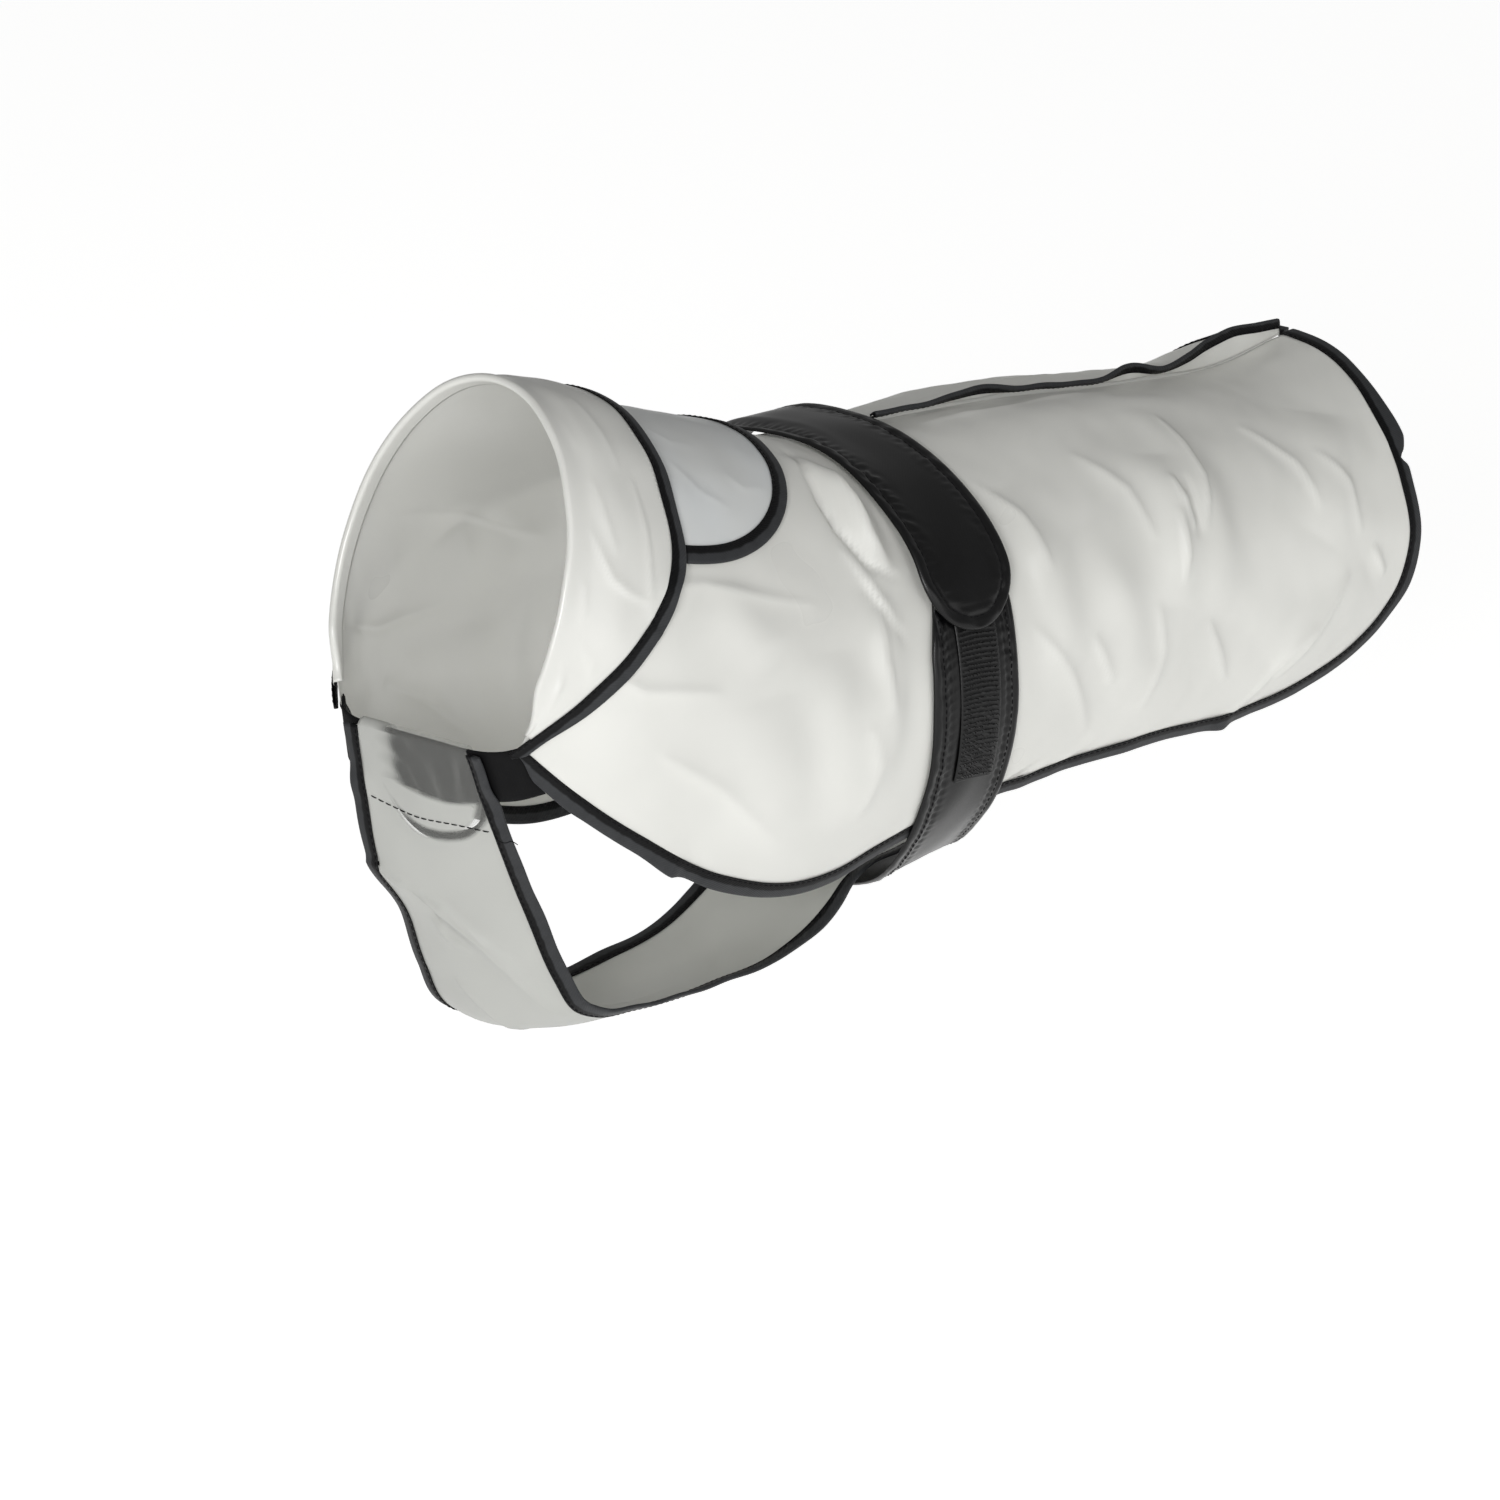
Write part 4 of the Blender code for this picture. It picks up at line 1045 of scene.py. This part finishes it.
hookTape = {
    "width": 25.0, "from": 99.0, "to": 191.0, "lift": 4.35, "thick": 0.5, "rim": 0.3, "rib": 0.16,
    "pitch": 0.36, "columns": 30, "slant": 0.36,
    "rowPitch": 2.1, "columnPitch": 1.6, "edge": 1.4, "missing": 0.06, "hook": 1.3, "wire": 0.2,
    # out and up, in shares of the hook
    "bends": ((0.0, 0.0), (0.02, 0.55), (0.12, 0.85), (0.34, 1.0), (0.5, 0.8)),
}


def addHookTape():
    half, pitch, edge = hookTape["width"] / 2, hookTape["rowPitch"], hookTape["edge"]
    lift, thick, high = hookTape["lift"], hookTape["thick"], hookTape["rim"]
    girths = np.arange(hookTape["from"], hookTape["to"], hookTape["pitch"]) - beltWhole
    row, x = np.meshgrid(girths, np.linspace(-half, half, hookTape["columns"]), indexing="ij")
    girth = row + hookTape["slant"] * x
    back = beltBack(girth, x)
    rib = hookTape["rib"] * np.cos(2 * math.pi * row / pitch) * ease((half - np.abs(x)) / 2)
    rim = ease((half - np.abs(x)) / 0.8) * high
    outer = place(back, girth, lift + thick - high + rim + rib)
    inner = place(back, girth, lift + 0 * rib)
    weave = np.stack([row, x], axis=-1)
    base = addSlab("hookTapeBase", outer, inner, hookFinish, "black_hook", "hook_tape", weave)
    # small bent hooks in rows, turned a little each way
    draw = np.random.default_rng(71)
    rows = np.arange(girths[0] + edge, girths[-1] - edge, pitch)
    columns = np.arange(-half + edge, half - edge, hookTape["columnPitch"])
    girth, x = (v.ravel() for v in np.meshgrid(rows, columns, indexing="ij"))
    keep = draw.random(len(girth)) > hookTape["missing"]
    girth = girth[keep] + draw.uniform(-0.2, 0.2, keep.sum())
    x = x[keep] + draw.uniform(-0.35, 0.35, keep.sum())
    girth = girth + hookTape["slant"] * x
    back = beltBack(girth, x)
    foot = place(back, girth, lift + thick - 0.1)
    along, around, up = directions(back, girth)
    turn = draw.uniform(0, 2 * math.pi, len(foot))
    lean = along * np.cos(turn)[:, None] + around * np.sin(turn)[:, None]
    bends = [foot + (lean * out + up * high) * hookTape["hook"] for out, high in hookTape["bends"]]
    spots = np.stack(bends, axis=1)
    runs = unit(np.gradient(spots, axis=1))
    sides = unit(np.cross(runs, np.roll(lean, 1, axis=0)[:, None] + up[:, None] * 0.3))
    tubes = spots[:, :, None] + rings(sides, np.cross(runs, sides), 4) * hookTape["wire"]
    return base, addPiece("hookPile", *lofts(tubes), hookFinish, "black_hook")


strap, strapThread = addBelt()
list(addHookTape())
print("belt and hook tape ready")


strip = {
    "line": (  # x, z, bow and skew of the middle line, from the fold at the top to the belt
        (-245, -86, 0, 0), (-232, -118, 1, 8), (-219, -148, 4, 14), (-207, -174, 6, 10), (-195, -197, 7, 13),
        (-184, -212, 7, 15), (-170, -218, 7, 11), (-150, -220, 6, 9), (-100, -219, 4, 5), (-62, -214, 2, 2),
        (-44, -207, 1, 0), (-30, -198, 2, 0), (-20, -190, 4, 0), (-10, -186, 6, 0), (10, -183, 6, 0),
        (34, -179, 6, 0),
    ),
    "width": 66.0, "rows": 210, "columns": 44, "edgeFrom": 2.2, "foldFrom": 2.4, "foldRows": 10,
    "foldShare": 0.955, "casingRows": 34, "casingTape": 6.5,
    "casing": (  # the folded-back end: down from the top, share of the half width
        (46, 0.1), (44.5, 0.34), (40, 0.54), (31, 0.7), (16, 0.85), (3, 0.95),
    ),
    "casingBehind": 4.2, "casingThick": 1.5, "casingShift": -6.0, "casingSeen": 3.7, "frontBehind": -0.6,
    # the front layer comes off the elastic towards the right
    "looseFrom": 6, "looseOver": 24, "looseBy": 3.4,
    "creases": (  # points (down, across), width, height, lean
        (((60, 38), (70, 27), (83, 4), (98, -12), (112, -20), (146, -31)), 7.0, 4.2, 0.6),
        (((88, 14), (98, 8), (104, -4)), 4.5, 2.0, 0.3),
        (((72, 22), (80, 15), (92, 10)), 5.0, -2.6, 0.2),
        (((120, 14), (134, 2), (150, -2)), 5.5, 2.2, -0.3),
        (((10, -10), (24, -16), (34, -12)), 7.0, 0.35, 0.2),
        (((180, 20), (200, -4), (226, -14)), 7.0, 0.9, 0.3),
        (((236, -22), (262, 2), (280, 18)), 7.0, 0.9, -0.3),
        (((300, 16), (316, -2), (334, -16)), 6.0, 0.8, 0.3),
    ),
    "swell": (0.3, 32, 81), "sway": (5, 34, 83), "kinkTwist": 14, "kinkAt": 28, "kinkReach": 6,
}
stripHalf = strip["width"] / 2
stripLine = np.array(strip["line"], float)
stripSteps = runningLength(stripLine[:, :2])
stripLength = stripSteps[-1]


def stripFrame(down):
    # the middle line, the unit vector into the coat, and how far the film bows and skews outward
    x, z, bow, skew = (curve(stripSteps, values, down) for values in stripLine.T)
    runX, runZ = (
        curve(stripSteps, values, down + 0.5) - curve(stripSteps, values, down - 0.5)
        for values in stripLine.T[:2]
    )
    inward = unit(np.stack([-runZ, 0 * x, runX], axis=-1))
    return np.stack([x, 0 * x, z], axis=-1), inward, np.maximum(bow, 0), np.maximum(skew, 0)


def stripPoint(down, across, behind=0.0):
    middle, inward, bow, skew = stripFrame(down)
    part = across / stripHalf
    out = bow * (1 - part * part) + skew * (1 + part) / 2
    sideways = np.stack([0 * part, across + 0 * part, 0 * part], axis=-1)
    return middle + inward * (behind - out)[..., None] + sideways


def casingPoint(down, across, behind):
    # behind the strip's front layer, and straight on beyond the strip's edges
    down, across, behind = np.broadcast_arrays(*(np.asarray(v, float) for v in (down, across, behind)))
    inside = np.clip(across, -stripHalf, stripHalf)
    return stripPoint(down, inside, behind) + (across - inside)[..., None] * np.array([0, 1, 0])


def casingCentre(down):
    return strip["casingShift"] * np.clip(down / strip["casing"][0][0], 0, 1)


def stripBehind(down, across):
    lift = creaseHeight(down, across, strip["creases"]) + ripple(down, across, strip["swell"])
    return strip["frontBehind"] - lift * ease(down / 10) * ease((stripLength - down) / 30)


def stripEdge(side):
    down = np.linspace(strip["edgeFrom"], stripLength, strip["rows"] + 1)
    across = np.full(len(down), side * stripHalf)
    behind = stripBehind(down, across)
    middles = stripPoint(down, across, behind)
    runs = unit(np.gradient(middles, axis=0))
    ups = unit(np.cross(unit(stripPoint(down, across + side * 0.5, behind) - middles), runs)) * side
    acrosses = unit(np.cross(runs, ups)) * side
    twist = ripple(down, 0, strip["sway"], side)
    twist = twist + side * strip["kinkTwist"] * bump(down, strip["kinkAt"], strip["kinkReach"])
    return down, middles, *turned(acrosses, ups, twist)


def addStrip():
    share = np.linspace(-1, 1, strip["columns"] + 1)
    casing, behind, top = strip["casing"], strip["casingBehind"], strip["foldFrom"]
    casingDown = np.linspace(casing[0][0], top, strip["casingRows"])
    outline = np.array(casing, float)[::-1]
    halfWidth = stripHalf * np.interp(casingDown, outline[:, 0], outline[:, 1])
    casingAcross = casingCentre(casingDown)[:, None] + halfWidth[:, None] * share
    casingRows = casingPoint(casingDown[:, None], casingAcross, behind)
    radius = (behind - strip["frontBehind"]) / 2
    turn = np.linspace(0, math.pi, strip["foldRows"] + 2)[1:-1, None]
    foldAcross = stripHalf * share * np.linspace(strip["foldShare"], 1, strip["foldRows"])[:, None]
    foldRows = casingPoint(top - radius * np.sin(turn), foldAcross, behind - radius * (1 - np.cos(turn)))
    rows = np.linspace(top, stripLength, strip["rows"])
    down, across = np.broadcast_arrays(rows[:, None], stripHalf * share)
    front = stripPoint(down, across, stripBehind(down, across))
    for side in (-1, 1):
        edgeDown, middles, acrosses, _ = stripEdge(side)
        edge = front[:, 0 if side < 0 else -1]
        move = tuckMove(rows, edgeDown, middles, acrosses, edge)
        weight = ease(1 - (stripHalf - side * across[0]) / tape["tuckOver"])[None, :, None]
        front = front + move[:, None] * (weight * ease((rows + 1) / 8)[:, None, None])
    grid = np.concatenate([casingRows, foldRows, front])
    weaveDown = np.concatenate([-casingDown, np.zeros(len(turn)), rows])[:, None] + 0 * share
    weaveAcross = np.broadcast_to(share * stripHalf, weaveDown.shape)
    loose = strip["looseBy"] * ease((weaveAcross - strip["looseFrom"]) / strip["looseOver"])
    off = fromDark(weaveDown, weaveAcross) + loose
    pieces = [addFilm("chestStripFilm", grid, stripShadedFinish, "chest_strip", weaveDown, weaveAcross, off)]
    pieces += addTape("stripBindingLeft", "strip_tape_left", stripEdge(-1)[1:])
    return pieces + addTape("stripBindingRight", "strip_tape_right", stripEdge(1)[1:])


def casingOutline():
    # the rounded end of the casing layer, down and across, and unit vectors away from it
    half = [(d, stripHalf * w) for d, w in strip["casing"][:5]]
    line = alongTable(half[::-1] + [(d, -w) for d, w in half], np.linspace(0, 1, 120))
    line[:, 1] += casingCentre(line[:, 0])
    tangents = unit(np.gradient(line, axis=0))
    return line, np.stack([-tangents[:, 1], tangents[:, 0]], axis=-1)


def fromDark(down, across):
    # distance to what is black behind the strip's front layer: the elastic and the casing's tape
    _, elasticDown, elasticAcross, _, share = elasticGrid()
    line, out = casingOutline()
    inset = elastic["inset"]
    dark = [
        np.stack([elasticDown[::6, k] - inset, elasticAcross[::6]], axis=-1)
        for k in np.flatnonzero(share > 0.1)
    ]
    # seen from in front and above, what lies further back shows higher up
    line = line - [strip["casingSeen"], 0]
    dark += [line + out * beyond for beyond in np.linspace(inset, strip["casingTape"] - inset, 4)]
    dark = np.concatenate(dark)
    flat = np.stack([down, across], axis=-1).reshape(-1, 2)
    away = np.array([np.hypot(*(dark - spot).T).min() for spot in flat]).reshape(down.shape)
    return np.where(down < elastic["top"], np.abs(down) * 0, away)


def addCasingTape():
    line, out = casingOutline()
    middles = casingPoint(*line.T, strip["casingBehind"])
    acrosses = unit(casingPoint(*(line + out).T, strip["casingBehind"]) - middles)
    ups = unit(np.cross(acrosses, unit(np.gradient(middles, axis=0))))
    edge = middles, acrosses, ups
    return addTape("casingBinding", "casing_tape", edge, strip["casingTape"], strip["casingThick"])


casingSeam = {
    # down, across, and for the loose end how far out
    "line": ((32.5, 33), (36, 21), (38.5, 8), (39.5, -8), (40.5, -20), (42, -33)),
    "length": 3.4, "gap": 0.6, "radius": 0.3,
    "loose": ((42, -33, 0.4), (43, -36, 2.6), (44.5, -40, 2.2), (44, -43.5, 0.6), (46, -45, -0.4)),
    "looseRadius": 0.22, "above": 0.15,
}


def addCasingSeam():
    # the stitches, and the thread's end, which hangs over the left tape
    down, across = alongTable(casingSeam["line"], np.linspace(0, 1, 120)).T
    spots = stripPoint(down, across, stripBehind(down, across) - casingSeam["above"])
    stitches = threads(spots, -stripFrame(down)[1], casingSeam)
    down, across, out = alongTable(casingSeam["loose"], np.linspace(0, 1, 30)).T
    end = cord(casingPoint(down, across, -out), casingSeam["looseRadius"])
    return addPiece("casingSeamStitches", *joined([stitches, end]), threadFinish, "black_tape")


elastic = {
    "line": (  # across, behind the strip's front layer
        (-57, 14), (-50, 7), (-44, 4), (-37, 2.4), (-30, 1.8), (-15, 1.8), (0, 1.8), (15, 1.8), (30, 1.8),
        (37, 2.4), (44, 4), (50, 7), (57, 14),
    ),
    "inset": 2.8, "top": 1.4, "width": 24.5, "thick": 1.3, "rows": 18, "rib": 1.35, "ribDepth": 0.22,
    "sag": 5.0, "sagAt": -14, "sagReach": 20, "sway": (0.25, 8, 91), "swayOver": 24,
}


def elasticGrid():
    # points in the middle of the elastic, and their places down, across and behind
    table, top = elastic["line"], elastic["top"]
    across = np.arange(table[0][0], table[-1][0], elastic["rib"] / 6)
    behind = tableCurve(table, across)
    low = top + elastic["width"] + elastic["sag"] * bump(across, elastic["sagAt"], elastic["sagReach"])
    share = np.linspace(0, 1, elastic["rows"])
    down = top + (low[:, None] - top) * share
    return casingPoint(down, across[:, None], behind[:, None]), down, across, behind, share


def addElastic():
    grid, down, across, behind, share = elasticGrid()
    spots = casingPoint(0 * across, across, behind)
    along = runningLength(spots)[:, None] + ripple(share * elastic["swayOver"], 0, elastic["sway"])
    ribs = np.abs(np.cos(math.pi * along / elastic["rib"])) - 0.5
    half = elastic["thick"] / 2 + elastic["ribDepth"] * ribs
    half = half * ease(0.35 + np.minimum(share, 1 - share) * 14)
    weave = np.stack([along + 0 * down, down], axis=-1)
    return addCloth(
        "chestElastic", grid, half[..., None], elasticFinish, "black_elastic", "chest_elastic", weave)


stripFilm, *stripTapes = addStrip()
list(addCasingTape())
addCasingSeam()
chestElastic = addElastic()
print("chest strip and elastic ready")
